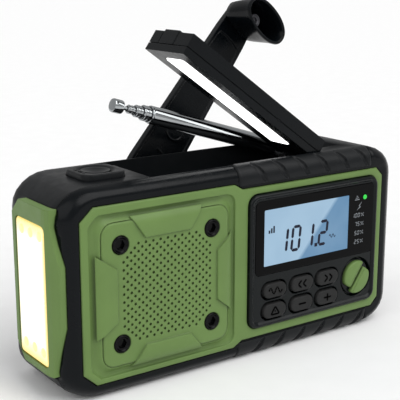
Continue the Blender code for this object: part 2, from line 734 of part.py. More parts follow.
def gear_outline(x, z, teeth, turn):
    """Straight-flanked teeth, narrowed so that meshing gears keep clear of each other."""
    pitch = 0.5 * MODULE * teeth
    root, root_half = pitch + TOOTH_ROOT[0] * MODULE, TOOTH_ROOT[1]
    tip, tip_half = pitch + TOOTH_TIP[0] * MODULE, TOOTH_TIP[1]
    points = []
    for n in range(teeth):
        middle = turn + 2 * pi * n / teeth
        for radius, half in ((root, root_half), (tip, tip_half)):
            side = half * MODULE / radius
            points.append((radius, middle - side))
        for radius, half in ((tip, tip_half), (root, root_half)):
            side = half * MODULE / radius
            points.append((radius, middle + side))
    return [(x + radius * cos(angle), z + radius * sin(angle)) for radius, angle in points]


def beside(x, z, distance, bearing):
    return x + distance * cos(radians(bearing)), z + distance * sin(radians(bearing))


def gear_places():
    """Axis of the idler and of the rotor, from the pitch circles in mesh."""
    idler = beside(CRANK_X, CRANK_Z, 0.5 * MODULE * (CRANK_TEETH + PINION_TEETH), IDLER_BEARING)
    rotor = beside(*idler, 0.5 * MODULE * (IDLER_TEETH + PINION_TEETH), ROTOR_BEARING)
    return idler, rotor


def build_dynamo(looks):
    idler, rotor = gear_places()
    toward_idler = radians(IDLER_BEARING)
    toward_rotor = radians(ROTOR_BEARING)
    gear = extrude(
        "crank_gear", "Y", gear_outline(CRANK_X, CRANK_Z, CRANK_TEETH, toward_idler), 12.3, 15.1
    )
    gear = join(gear, rod("shaft", "Y", CRANK_X, CRANK_Z, 2.5, 11.6, 20.0, 20))
    centre_on(finish(gear, "crank_gear", looks["nylon"]), CRANK_X, 16.0, CRANK_Z)

    pinion_turn = toward_idler + pi + pi / PINION_TEETH
    pinion = extrude("pinion", "Y", gear_outline(*idler, PINION_TEETH, pinion_turn), 10.2, 15.6)
    wheel = extrude("idler_gear", "Y", gear_outline(*idler, IDLER_TEETH, toward_rotor), 8.4, 10.8)
    wheel = join(wheel, pinion)
    wheel = cut(wheel, rod("bore", "Y", *idler, 1.5, 5, 18, 16))
    centre_on(finish(wheel, "idler_gear", looks["nylon"]), idler[0], 12.0, idler[1])

    rotor_turn = toward_rotor + pi + pi / PINION_TEETH
    spin = extrude("rotor", "Y", gear_outline(*rotor, PINION_TEETH, rotor_turn), 8.2, 11.0)
    drum = turned("drum", "Y", *rotor, [(0, -0.2), (7.4, -0.2), (7.4, 4.2), (1.0, 4.2), (1.0, 8.8), (0, 8.8)])
    spin = join(spin, drum)
    centre_on(finish(spin, "rotor", looks["steel"]), rotor[0], 5.0, rotor[1])
    can = turned("generator_can", "Y", *rotor, [
        (10.0, -1.6), (10.0, 5.5), (1.5, 5.5), (1.5, 4.6), (8.6, 4.6), (8.6, -0.6), (0, -0.6), (0, -1.6)
    ])
    finish(can, "generator_can", looks["dark_metal"], smooth=40)

    plate = box("gear_plate", (-45.0, 5.8, 12.0), (-8.0, 7.5, 58.0))
    plate = cut(plate, rod("rotor_hole", "Y", *rotor, 1.6, 4, 9, 16))
    plate = join(plate, rod("idler_post", "Y", *idler, 1.2, 6.5, 16.6, 16))
    finish(plate, "gear_plate", looks["steel"])


def build_crank(looks):
    axis = pivot("crank_axis", CRANK_X, CRANK_Y, CRANK_Z, (0, -CRANK_ANGLE, 0))
    fold = pivot("fold_axis", 0, 0, 0, (0, 0, CRANK_LEAN), axis)
    hub = turned("crank_hub", "Y", 0, 0, [
        (0, -4.3), (12.4, -4.3), (12.8, -3.9), (12.8, -3.1), (12.2, -2.6), (0, -2.6)
    ], 32)
    for side in (-1, 1):
        low, high = sorted((side * 5.9, side * 9.2))
        ear = extrude("ear", "Z", [
            (-3.4, -3), (3.4, -3), (2.9, 0.8), (1.5, 2.5), (-1.5, 2.5), (-2.9, 0.8)
        ], low, high)
        hub = join(hub, ear)
    hub = cut(hub, rod("pin_hole", "Z", 0, 0, 1.3, -12, 12, 16))
    finish(hub, "crank_hub", looks["black"], axis, smooth=40)
    pin = rod("crank_fold_pin", "Z", 0, 0, 1.0, -9.0, 9.0, 16)
    finish(pin, "crank_fold_pin", looks["steel"], axis, smooth=40)

    end = ARM_REACH + 4.8
    arm = extrude("crank_arm", "Y", [
        (3.0, -5.5), (8.5, -5.5), (13.0, -10.6), (20, -10.8), (88, -7.9), (96, -7.2), (end, -3.4),
        (end, 3.4), (96, 7.2), (88, 7.9), (20, 10.8), (13.0, 10.6), (8.5, 5.5), (3.0, 5.5),
    ], -ARM_HALF, ARM_HALF)
    root = rod("root", "Z", 0, 0, 2.1, -5.5, 5.5, 16)
    web = box("web", (0, -1.2, -5.5), (4, 1.2, 5.5))
    arm = join(arm, root, web)
    trapezoid = [(18, -9.2), (86, -6.4), (86, 6.4), (18, 9.2)]
    channel = extrude("channel", "Y", trapezoid, -ARM_HALF - 1, -ARM_HALF + 0.8)
    arm = cut(
        arm, channel, rod("pin_bore", "Z", 0, 0, 1.3, -7, 7, 16),
        rod("screw_hole", "Y", ARM_REACH, 0, 1.9, -4, 4, 16),
    )
    finish(arm, "crank_arm", looks["black"], fold)

    knob_axis = pivot("knob_axis", ARM_REACH, 0, 0, parent=fold)
    knob = loft("crank_knob", "Y", [
        (-1.8, rounded(-4.8, 4.8, -9.6, 9.4, 4.6)),
        (-5.0, rounded(-5.0, 5.0, -10.4, 9.7, 4.8)),
        (-12.0, rounded(-5.6, 5.6, -11.6, 10.0, 5.4)),
        (-16.8, rounded(-6.4, 6.4, -12.7, 10.5, 6.2)),
    ])
    cup = loft("cup", "Y", [
        (-4.0, rounded(-3.6, 3.6, -8.8, 8.4, 3.4)),
        (-12.0, rounded(-4.3, 4.3, -10.3, 8.7, 4.1)),
        (-18.0, rounded(-5.4, 5.4, -11.7, 9.5, 5.2)),
    ])
    knob = cut(knob, cup)
    knob = join(knob, rod("boss", "Y", 0, 0, 3.2, -8.6, -3.0, 20))
    knob = cut(knob, rod("knob_bore", "Y", 0, 0, 1.9, -10, 0, 16))
    finish(knob, "crank_knob", looks["black"], knob_axis, smooth=40)
    screw = rod("crank_knob_screw", "Y", ARM_REACH, 0, 1.5, -9.6, 1.3, 16)
    screw = join(screw, rod("head", "Y", ARM_REACH, 0, 2.7, -10.4, -8.9, 20))
    screw = cut(screw, extrude("socket", "Y", circle(ARM_REACH, 0, 1.2, 6), -12, -9.7))
    finish(screw, "crank_knob_screw", looks["steel"], fold, smooth=40)


# ---------------------------------------------------------------- battery and port

def build_power(looks):
    x0, x1, y, z = CELL
    cell = turned("battery_cell", "X", y, z, [
        (0, x0), (CELL_RADIUS, x0), (CELL_RADIUS, x1 - 1.2), (3.0, x1 - 1.2), (3.0, x1), (0, x1)
    ])
    finish(cell, "battery_cell", looks["cell"], smooth=40)
    door = extrude("battery_door", "Y", rounded(*DOOR, 2.0, steps=3), 18.0, BACK_Y - 0.1)
    door = cut(door, rod("screw_recess", "Y", 32.5, 21.5, 2.8, 18.9, 22, 20))
    finish(door, "battery_door", looks["black_matte"])

    board = box("port_board", (69.2, -7.5, 9.5), (70.8, 5.5, 25.0))
    for n, (low, high) in enumerate(((13.0, 16.4), (18.2, 21.6))):
        shell = box("port_shell", (70.0, -5.4, low), (75.0, 3.4, high))
        mouth = box("port_mouth", (71.6, -4.7, low + 0.7), (76.0, 2.7, high - 0.7))
        board = join(board, cut(shell, mouth))
    finish(board, "port_board", looks["board"])
    flap = extrude("port_cover", "X", rounded(*PORT, 1.4, steps=3), 75.6, 77.5)
    centre_on(finish(flap, "port_cover", looks["rubber"]), 76.6, -1.0, PORT[2] + 0.3)


def make_looks():
    return {
        "black": material("black_plastic", (0.02, 0.022, 0.024), 0.42),
        "black_matte": material("black_matte_plastic", (0.045, 0.047, 0.05), 0.6),
        "gloss_black": material("bezel_plastic", (0.03, 0.03, 0.032), 0.3),
        "green": material("green_plastic", (0.19, 0.31, 0.1), 0.5),
        "button": material("button_plastic", (0.06, 0.06, 0.062), 0.5),
        "rubber": material("black_rubber", (0.03, 0.031, 0.033), 0.7),
        "clear": material("clear_plastic", (0.6, 0.65, 0.7), 0.08),
        "lcd": material("lcd_glass", (0.35, 0.6, 0.85), 0.2),
        "led_green": material("green_led", (0.1, 0.8, 0.2), 0.2),
        "glow": material("lamp_diffuser_plastic", (0.95, 0.95, 0.95), 0.4),
        "solar": material("solar_cells", (0.01, 0.015, 0.05), 0.15),
        "screw": material("black_screw_steel", (0.02, 0.02, 0.02), 0.35, 0.8),
        "steel": material("steel", (0.5, 0.5, 0.5), 0.35, 1.0),
        "chrome": material("chrome", (0.75, 0.76, 0.78), 0.12, 1.0),
        "dark_metal": material("dark_steel", (0.12, 0.12, 0.13), 0.45, 0.8),
        "dark_part": material("switch_body", (0.08, 0.08, 0.08), 0.5),
        "mirror": material("reflector_coat", (0.85, 0.85, 0.82), 0.1, 1.0),
        "board": material("circuit_board", (0.02, 0.14, 0.06), 0.45),
        "paper": material("speaker_paper", (0.05, 0.05, 0.05), 0.85),
        "nylon": material("white_nylon", (0.8, 0.79, 0.74), 0.5),
        "cell": material("battery_wrap", (0.08, 0.25, 0.5), 0.4),
    }


def main():
    for old in list(bpy.data.objects):
        bpy.data.objects.remove(old)
    looks = make_looks()
    build_front_case(looks)
    build_rear_case(looks)
    build_front_panel(looks)
    build_grille(looks)
    build_screws(looks)
    build_grips(looks)
    build_controls(looks)
    build_speaker(looks)
    build_torch(looks)
    build_sos(looks)
    build_lamp(looks)
    build_antenna(looks)
    build_dynamo(looks)
    build_crank(looks)
    build_power(looks)


main()
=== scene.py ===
"""Emergency radio: the visible pieces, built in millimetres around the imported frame."""
import json
from math import cos, floor, pi, radians, sin, sqrt

import bmesh
import bpy
from mathutils import Matrix, Vector

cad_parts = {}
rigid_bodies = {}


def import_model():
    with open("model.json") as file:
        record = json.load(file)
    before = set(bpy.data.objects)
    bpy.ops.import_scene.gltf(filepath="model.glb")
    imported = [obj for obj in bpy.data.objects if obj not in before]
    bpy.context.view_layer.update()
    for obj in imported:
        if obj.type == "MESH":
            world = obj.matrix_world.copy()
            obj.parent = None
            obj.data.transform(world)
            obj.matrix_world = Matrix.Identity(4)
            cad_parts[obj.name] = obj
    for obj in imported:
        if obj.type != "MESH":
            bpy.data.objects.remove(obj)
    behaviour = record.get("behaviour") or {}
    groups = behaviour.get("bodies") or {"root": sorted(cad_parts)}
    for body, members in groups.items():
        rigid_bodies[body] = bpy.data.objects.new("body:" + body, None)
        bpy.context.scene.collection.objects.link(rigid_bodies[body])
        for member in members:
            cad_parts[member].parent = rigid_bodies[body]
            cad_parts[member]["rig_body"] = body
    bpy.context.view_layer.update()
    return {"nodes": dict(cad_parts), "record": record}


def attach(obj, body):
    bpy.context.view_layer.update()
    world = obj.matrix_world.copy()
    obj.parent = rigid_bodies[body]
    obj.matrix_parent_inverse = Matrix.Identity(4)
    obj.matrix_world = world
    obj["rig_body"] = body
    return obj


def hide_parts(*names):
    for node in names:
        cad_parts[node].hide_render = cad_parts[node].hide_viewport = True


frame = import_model()
NODES = frame["nodes"]

MM = 0.001
AXES = {"X": (1, 2, 0), "Y": (0, 2, 1), "Z": (0, 1, 2)}

# Front panel and speaker plate
PANEL_HALF = 68.3
PANEL_LOW = 5.5
PANEL_HIGH = 67.5
PANEL_STEP = 2.1
PANEL_BACK = -18.2
FRONT_Y = -20.0
SPEAKER = Vector((-35.3, 36.3))
PLATE_HALF = (26.0, 25.3)
PADS = (                       # runs along x, side, nearest and farthest from the middle
    (True, -1, 20.0, 28.2), (True, 1, 20.5, 27.6), (False, -1, 19.4, 26.6), (False, 1, 18.3, 26.6),
)
PLATE_FACE = -21.0
PLATE_BACK = -20.5
HOLE_PITCH = (2.95, 2.83)
HOLE_RADIUS = 0.5
SCREW_SPAN = (18.7, 17.4)

# Control side
BEZEL = (0.4, 64.8, 11.3, 62.7)
FACE_Y = -20.6
WINDOW = (3.3, 63.5, 31.6, 59.9)
LCD = (7.3, 49.6, 34.8, 56.4)
BUTTON_X = (12.5, 26.0, 39.0)
BUTTON_Z = (25.0, 17.0)
BUTTON_HALF = (5.5, 2.85)
KNOB = Vector((54.8, 22.2))
KNOB_RADIUS = 7.2
KNOB_FACE = -21.7
LED = (58.1, 54.6)
GLARE_SLOPE = 0.877            # painted glare: the display is paler left of x = GLARE_X + GLARE_SLOPE * z
GLARE_X = -6.0
KNOB_GROOVE = radians(55.0)
INK = (-20.5, -20.76)          # depths of the display's digits
PRINT = (-20.6, -20.8)         # depths of the marks on the window

# Rubber grips over the rounded front edges, alike above and below the middle of the body
GRIP_START = -3.6
GRIP_END = 62.0
BODY_MIDDLE = 36.75
EDGE_Y = -14.3
EDGE_HEIGHT = 31.3             # from the middle of the body to the middle of the rounding
EDGE_RADII = (5.1, 5.45)
EDGE_FRONT = -19.4
EDGE_SHARE = 0.78              # of the way across a strip that the rounding takes
GROOVE_START = 6.3
GROOVE_PITCH = 10.2
GROOVE_SLANT = 5.6

# SOS pad, torch and casing
SOS = Vector((-51.5, -0.6))
SOS_PAD = (-59.9, -43.1, -9.2, 8.0)
TORCH_LENS = (-12.3, 8.5, 12.7, 61.3)
CASE_SCREWS = ((-64.0, 12.0), (-64.0, 61.5), (40.0, 65.5), (50.0, 33.0))
DOOR_SCREW = (32.5, 21.5)

# Moving parts, placed as the frame has them at rest
LAMP_HINGE = Vector((47.2, 0.0, 69.75))
LAMP_ANGLE = radians(35.2)
LAMP = Matrix.Translation(LAMP_HINGE) @ Matrix.Rotation(LAMP_ANGLE, 4, "Y")
ANTENNA = Matrix.Translation((48.0, 14.1, 69.1)) @ Matrix.Rotation(radians(17.0), 4, "Y")
CRANK = Matrix.Translation((-25.4, 24.6, 51.5)) @ Matrix.Rotation(radians(-46.6), 4, "Y")
ARM = CRANK @ Matrix.Rotation(radians(8.5), 4, "Z")
CRANK_LENGTH = 96.0
KNOB_SPIN = ARM @ Matrix.Translation((CRANK_LENGTH, 0.0, 0.0))


# ---------------------------------------------------------------- outlines

def rectangle(a0, a1, b0, b1):
    return [(a0, b0), (a1, b0), (a1, b1), (a0, b1)]


def rounded(a0, a1, b0, b1, radius, steps=6):
    """A rectangle whose corners are quarter circles."""
    corners = [
        (a1 - radius, b1 - radius, 0), (a0 + radius, b1 - radius, 90),
        (a0 + radius, b0 + radius, 180), (a1 - radius, b0 + radius, 270),
    ]
    points = []
    for a, b, start in corners:
        for n in range(steps + 1):
            angle = radians(start + 90 * n / steps)
            points.append((a + radius * cos(angle), b + radius * sin(angle)))
    return points


def angles(steps):
    return [2 * pi * n / steps for n in range(steps)]


def oval(half, high, low, power, steps=56):
    """A superellipse about a = 0 between b = low and b = high."""
    middle = 0.5 * (high + low)
    reach = 0.5 * (high - low)
    points = []
    for angle in angles(steps):
        c, s = cos(angle), sin(angle)
        points.append((
            half * abs(c) ** (2 / power) * (1 if c > 0 else -1),
            middle + reach * abs(s) ** (2 / power) * (1 if s > 0 else -1),
        ))
    return points


def circle(a, b, radius, steps=32):
    return [(a + radius * cos(angle), b + radius * sin(angle)) for angle in angles(steps)]


def hexagon(a, b, apothem, steps=24):
    """A hexagon with the same number of points as a circle, to join the two."""
    points = []
    for angle in angles(steps):
        off = angle - floor(angle / (pi / 3)) * (pi / 3) - pi / 6
        points.append((a + apothem / cos(off) * cos(angle), b + apothem / cos(off) * sin(angle)))
    return points


def grown(sides, grow):
    a0, a1, b0, b1 = sides
    return a0 - grow, a1 + grow, b0 - grow, b1 + grow


def pill(x, z, grow=0.0, steps=6):
    half_x = BUTTON_HALF[0] + grow
    half_z = BUTTON_HALF[1] + grow
    return rounded(x - half_x, x + half_x, z - half_z, z + half_z, half_z * 0.98, steps)


def panel_outline(grow=0.0):
    """Cut corners, and a control half that is stepped in at top and bottom."""
    left = -PANEL_HALF - grow
    right = PANEL_HALF + grow
    low = PANEL_LOW - grow
    high = PANEL_HIGH + grow
    step_start = -5.65 + 0.3 * grow
    step_end = -1.9 + 0.3 * grow
    return [
        (left + 5.2, low), (step_start, low), (step_end, low + PANEL_STEP),
        (right - 3.3, low + PANEL_STEP), (right, low + PANEL_STEP + 3.3),
        (right, high - PANEL_STEP - 3.3), (right - 3.3, high - PANEL_STEP),
        (step_end, high - PANEL_STEP), (step_start, high), (left + 5.2, high),
        (left, high - 4.7), (left, low + 4.7),
    ]


def plate_outline(grow=0.0, steps=6):
    x, z = SPEAKER
    half_x = PLATE_HALF[0] + grow
    half_z = PLATE_HALF[1] + grow
    return rounded(x - half_x, x + half_x, z - half_z, z + half_z, 4.5 + grow, steps)


def dish_outline(grow=0.0):
    """The hollow round the speaker plate: cut corners on the left, round ones on the right."""
    left, right, low, high = grown((-65.6, -5.7, 7.6, 64.7), grow)
    points = [(left + 3.6, low), (right - 3.4, low)]
    points += [
        (right - 3.4 + 3.4 * sin(angle), low + 3.4 - 3.4 * cos(angle))
        for angle in (pi / 8, pi / 4, 3 * pi / 8)
    ]
    points += [(right, low + 3.4), (right, high - 3.4)]
    points += [
        (right - 3.4 + 3.4 * cos(angle), high - 3.4 + 3.4 * sin(angle))
        for angle in (pi / 8, pi / 4, 3 * pi / 8)
    ]
    points += [(right - 3.4, high), (left + 3.6, high), (left, high - 3.6), (left, low + 3.6)]
    return points


def around(outline, centre, count):
    """Where evenly turned rays from the centre meet an outline."""
    points = []
    for n in range(count):
        ray = Vector((cos(2 * pi * n / count), sin(2 * pi * n / count)))
        reach = 0.0
        for m, corner in enumerate(outline):
            start = Vector(corner) - centre
            edge = Vector(outline[(m + 1) % len(outline)]) - centre - start
            skew = ray.cross(edge)
            if abs(skew) < 1e-9:
                continue
            share = start.cross(ray) / skew
            if -1e-6 <= share <= 1 + 1e-6:
                reach = max(reach, start.cross(edge) / skew)
        points.append(tuple(centre + ray * reach))
    return points


def between(first, second, share):
    return [
        (a0 + (a1 - a0) * share, b0 + (b1 - b0) * share)
        for (a0, b0), (a1, b1) in zip(first, second)
    ]


# ---------------------------------------------------------------- mesh helpers

def spot(axis, a, b, depth):
    i, j, k = AXES[axis]
    place = [0.0, 0.0, 0.0]
    place[i] = a
    place[j] = b
    place[k] = depth
    return place


def skin(bm, axis, rings, first_cap=True, last_cap=True):
    """Join a row of rings, each (depth, outline), and give back their corners."""
    rows = [[bm.verts.new(spot(axis, a, b, depth)) for a, b in outline] for depth, outline in rings]
    for low, high in zip(rows, rows[1:]):
        for n in range(len(low)):
            m = (n + 1) % len(low)
            bm.faces.new((low[n], low[m], high[m], high[n]))
    if first_cap:
        bm.faces.new(rows[0])
    if last_cap:
        bm.faces.new(rows[-1])
    return rows


def tube(bm, axis, rings):
    """A skin that is open at both ends."""
    return skin(bm, axis, rings, False, False)


def fill(bm, *loops):
    """Close the flat area between loops of corners."""
    edges = []
    for loop in loops:
        for n, corner in enumerate(loop):
            after = loop[(n + 1) % len(loop)]
            edges.append(bm.edges.get((corner, after)) or bm.edges.new((corner, after)))
    bmesh.ops.triangle_fill(bm, edges=edges, use_beauty=True)


def turn(bm, axis, a, b, profile, steps=32):
    """Turn a closed profile of (radius, depth) about a line along the axis."""
    rows = []
    for radius, depth in profile:
        ring = circle(a, b, radius, steps) if radius else [(a, b)]
        rows.append([bm.verts.new(spot(axis, p, q, depth)) for p, q in ring])
    for low, high in zip(rows, rows[1:] + rows[:1]):
        if len(low) == 1 and len(high) == 1:
            continue
        for n in range(steps):
            m = (n + 1) % steps
            if len(low) == 1:
                bm.faces.new((low[0], high[m], high[n]))
            elif len(high) == 1:
                bm.faces.new((low[n], low[m], high[0]))
            else:
                bm.faces.new((low[n], low[m], high[m], high[n]))


def prism(bm, axis, outline, low, high, soften=0.0):
    """Push an outline along an axis, with its far rim optionally drawn in a little."""
    rings = [(low, outline), (high, outline)]
    if soften:
        centre = [sum(values) / len(outline) for values in zip(*outline)]
        step = soften if high > low else -soften
        small = [
            (a - soften * (1 if a > centre[0] else -1), b - soften * (1 if b > centre[1] else -1))
            for a, b in outline
        ]
        rings = [(low, outline), (high - step, outline), (high, small)]
    skin(bm, axis, rings)


def piece(name, bm, body, look, stands_for=(), place=None, crease=35, bevel=0.0, segments=2):
    """Turn a mesh in millimetres into a piece that rides on a body and wears a look."""
    bmesh.ops.remove_doubles(bm, verts=bm.verts, dist=1e-4)
    bmesh.ops.recalc_face_normals(bm, faces=bm.faces)
    if place is not None:
        bmesh.ops.transform(bm, matrix=place, verts=bm.verts)
    bmesh.ops.scale(bm, vec=(MM, MM, MM), verts=bm.verts)
    mesh = bpy.data.meshes.new(name)
    bm.to_mesh(mesh)
    bm.free()
    made = bpy.data.objects.new(name, mesh)
    bpy.context.scene.collection.objects.link(made)
    mesh.materials.append(LOOKS[look])
    mesh.shade_smooth()
    mesh.set_sharp_from_angle(angle=radians(crease))
    if bevel:
        rim = made.modifiers.new("rim", "BEVEL")
        rim.width = bevel * MM
        rim.segments = segments
        rim.limit_method = "ANGLE"
        rim.angle_limit = radians(32)
        rim.harden_normals = True
    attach(made, body)
    if stands_for:
        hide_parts(*stands_for)
    return made


def refined(node, look, crease=40, bevel=0.0, segments=2, join_flats=True):
    """A CAD node again, with its flat faces joined up, its curves smooth and its edges broken."""
    bm = bmesh.new()
    bm.from_mesh(NODES[node].data)
    bmesh.ops.remove_doubles(bm, verts=bm.verts, dist=1e-6)
    if join_flats:
        bmesh.ops.dissolve_limit(
            bm, angle_limit=radians(0.8), verts=bm.verts, edges=bm.edges, use_dissolve_boundaries=False
        )
    bmesh.ops.scale(bm, vec=(1 / MM, 1 / MM, 1 / MM), verts=bm.verts)
    made = piece(
        node + "_shell", bm, NODES[node]["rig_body"], look, (node,),
        crease=crease, bevel=bevel, segments=segments,
    )
    even = made.modifiers.new("even", "WEIGHTED_NORMAL")
    even.keep_sharp = True
    return made


# ---------------------------------------------------------------- looks

def node(tree, kind, *sources, **settings):
    """A node with its settings, fed in order by sockets or plain values."""
    made = tree.nodes.new(kind)
    for key, value in settings.items():
        setattr(made, key, value)
    for n, source in enumerate(sources):
        if isinstance(source, bpy.types.NodeSocket):
            tree.links.new(source, made.inputs[n])
        else:
            made.inputs[n].default_value = source
    return made


def own_metres(tree):
    return node(tree, "ShaderNodeTexCoord").outputs["Object"]


def noise(tree, scale, detail=2.0, roughness=0.5):
    """Noise laid over the object's own metres."""
    made = node(tree, "ShaderNodeTexNoise", own_metres(tree))
    made.inputs["Scale"].default_value = scale
    made.inputs["Detail"].default_value = detail
    made.inputs["Roughness"].default_value = roughness
    return made.outputs["Fac"]


def spread(tree, source, low, high, new_low, new_high):
    """A value carried from one range to another."""
    return node(tree, "ShaderNodeMapRange", source, low, high, new_low, new_high).outputs[0]


def mixed(tree, share, first, second):
    """Mix two colours; either may be a colour or a socket."""
    made = node(tree, "ShaderNodeMix", data_type="RGBA")
    tree.links.new(share, made.inputs[0])
    for slot, value in ((6, first), (7, second)):
        if isinstance(value, tuple):
            made.inputs[slot].default_value = (*value, 1.0)
        else:
            tree.links.new(value, made.inputs[slot])
    return made.outputs[2]


def shaded(colour, factor):
    return tuple(min(1.0, channel * factor) for channel in colour)


def surface(name, colour, rough, grain=2600.0, bump=0.12, vary=0.1, wear=0.35, round_mm=0.35,
            metallic=0.0, coat=0.0, specular=0.5, rough_vary=0.06, wear_colour=None, painted_crevice_shade=0.0):
    """Moulded or metal finish: grain, uneven colour and gloss, lightly worn edges, and optional painted
    shade that darkens creases and recesses.
    """
    look = bpy.data.materials.new(name)
    look.use_nodes = True
    tree = look.node_tree
    shader = tree.nodes["Principled BSDF"]
    shader.inputs["Metallic"].default_value = metallic
    shader.inputs["Coat Weight"].default_value = coat
    shader.inputs["Coat Roughness"].default_value = 0.12
    shader.inputs["Specular IOR Level"].default_value = specular
    patches = spread(tree, noise(tree, 70.0, 3.0), 0.3, 0.7, 0.0, 1.0)
    tone = mixed(tree, patches, shaded(colour, 1 - vary), shaded(colour, 1 + vary))
    soft = node(tree, "ShaderNodeBevel", samples=4)
    soft.inputs["Radius"].default_value = round_mm * MM
    flat = node(tree, "ShaderNodeNewGeometry")
    meet = node(
        tree, "ShaderNodeVectorMath", soft.outputs["Normal"], flat.outputs["Normal"],
        operation="DOT_PRODUCT",
    )
    edge = spread(tree, meet.outputs["Value"], 0.99, 0.8, 0.0, wear)
    scuff = spread(tree, noise(tree, 420.0, 4.0, 0.7), 0.35, 0.7, 0.2, 1.0)
    worn = node(tree, "ShaderNodeMath", edge, scuff, operation="MULTIPLY")
    bright = wear_colour or tuple(0.35 * channel + 0.12 for channel in shaded(colour, 1.6))
    tone = mixed(tree, worn.outputs[0], tone, bright)
    # painted shade: ambient occlusion darkens the colour towards a quarter of itself in creases, gaps and
    # recesses
    if painted_crevice_shade:
        near = node(tree, "ShaderNodeAmbientOcclusion", samples=6)
        near.inputs["Distance"].default_value = 2.2 * MM
        tone = mixed(tree, spread(tree, near.outputs["AO"], 0.3, 0.9, painted_crevice_shade, 0.0), tone,
                     shaded(colour, 0.25))
    tree.links.new(tone, shader.inputs["Base Color"])
    gloss = spread(
        tree, noise(tree, 260.0, 4.0, 0.6), 0.3, 0.7, max(0.02, rough - rough_vary), rough + rough_vary
    )
    tree.links.new(gloss, shader.inputs["Roughness"])
    lift = node(tree, "ShaderNodeBump")
    lift.inputs["Strength"].default_value = bump
    lift.inputs["Distance"].default_value = 0.1 * MM
    tree.links.new(noise(tree, grain, 2.0), lift.inputs["Height"])
    tree.links.new(soft.outputs["Normal"], lift.inputs["Normal"])
    tree.links.new(lift.outputs["Normal"], shader.inputs["Normal"])
    return look


def glowing(name, colour, edge_colour, strength, centre, half, softness=0.35, base=(0.2, 0.2, 0.17)):
    """A lit diffuser: full in the middle and warmer towards its rim, in the object's own metres."""
    look = surface(name, base, 0.25, bump=0.05, wear=0.0)
    tree = look.node_tree
    shader = tree.nodes["Principled BSDF"]
    shift = node(
        tree, "ShaderNodeVectorMath", own_metres(tree), Vector(centre) * MM, operation="SUBTRACT"
    )
    scale = node(
        tree, "ShaderNodeVectorMath", shift.outputs[0], Vector(half) * MM, operation="DIVIDE"
    )
    size = node(tree, "ShaderNodeVectorMath", scale.outputs[0], operation="ABSOLUTE")
    x, y, z = node(tree, "ShaderNodeSeparateXYZ", size.outputs[0]).outputs
    far = node(tree, "ShaderNodeMath", x, y, operation="MAXIMUM")
    further = node(tree, "ShaderNodeMath", far.outputs[0], z, operation="MAXIMUM")
    rim = spread(tree, further.outputs[0], 1.0 - softness, 1.0, 0.0, 1.0)
    tree.links.new(mixed(tree, rim, colour, edge_colour), shader.inputs["Emission Color"])
    shader.inputs["Emission Strength"].default_value = strength
    return look


def lcd_look():
    """Backlit display with a painted glare: paler left of a slanting line, with faint uneven patches."""
    look = surface("lcd_glass", (0.03, 0.05, 0.07), 0.12, bump=0.02, wear=0.0, coat=0.3)
    tree = look.node_tree
    shader = tree.nodes["Principled BSDF"]
    x, _, z = node(tree, "ShaderNodeSeparateXYZ", own_metres(tree)).outputs
    # painted glare: the emission colour turns pale left of the slanting line
    slant = node(tree, "ShaderNodeMath", z, -GLARE_SLOPE, x, operation="MULTIPLY_ADD")
    across = spread(tree, slant.outputs[0], (GLARE_X - 1.2) * MM, (GLARE_X + 1.0) * MM, 0.0, 0.85)
    cloud = spread(tree, noise(tree, 60.0, 2.0), 0.3, 0.7, -0.08, 0.12)
    share = node(tree, "ShaderNodeMath", across, cloud, operation="ADD", use_clamp=True)
    glow = mixed(tree, share.outputs[0], (0.29, 0.44, 0.58), (0.035, 0.15, 0.3))
    tree.links.new(glow, shader.inputs["Emission Color"])
    shader.inputs["Emission Strength"].default_value = 1.0
    return look


def solar_look():
    """Dark cells under glass with fine pale collector lines."""
    look = surface("solar_cells", (0.008, 0.012, 0.04), 0.15, bump=0.03, wear=0.05, coat=0.6)
    tree = look.node_tree
    shader = tree.nodes["Principled BSDF"]
    level = node(
        tree, "ShaderNodeMapping", own_metres(tree), LAMP_HINGE * MM, (0.0, LAMP_ANGLE, 0.0),
        vector_type="TEXTURE",
    )
    parts = node(tree, "ShaderNodeSeparateXYZ", level.outputs[0])
    lines = []
    for axis, pitch, width in ((0, 8.0, 0.35), (1, 3.2, 0.12)):
        step = node(
            tree, "ShaderNodeMath", parts.outputs[axis], 0.5 * pitch * MM, operation="PINGPONG"
        )
        thin = node(
            tree, "ShaderNodeMath", step.outputs[0], 0.5 * width * MM, operation="LESS_THAN"
        )
        lines.append(thin.outputs[0])
    either = node(tree, "ShaderNodeMath", *lines, operation="MAXIMUM")
    cells = mixed(tree, spread(tree, noise(tree, 300.0, 3.0), 0.3, 0.7, 0.0, 1.0),
                  (0.005, 0.008, 0.03), (0.015, 0.025, 0.08))
    tone = mixed(tree, either.outputs[0], cells, (0.28, 0.3, 0.34))
    tree.links.new(tone, shader.inputs["Base Color"])
    return look


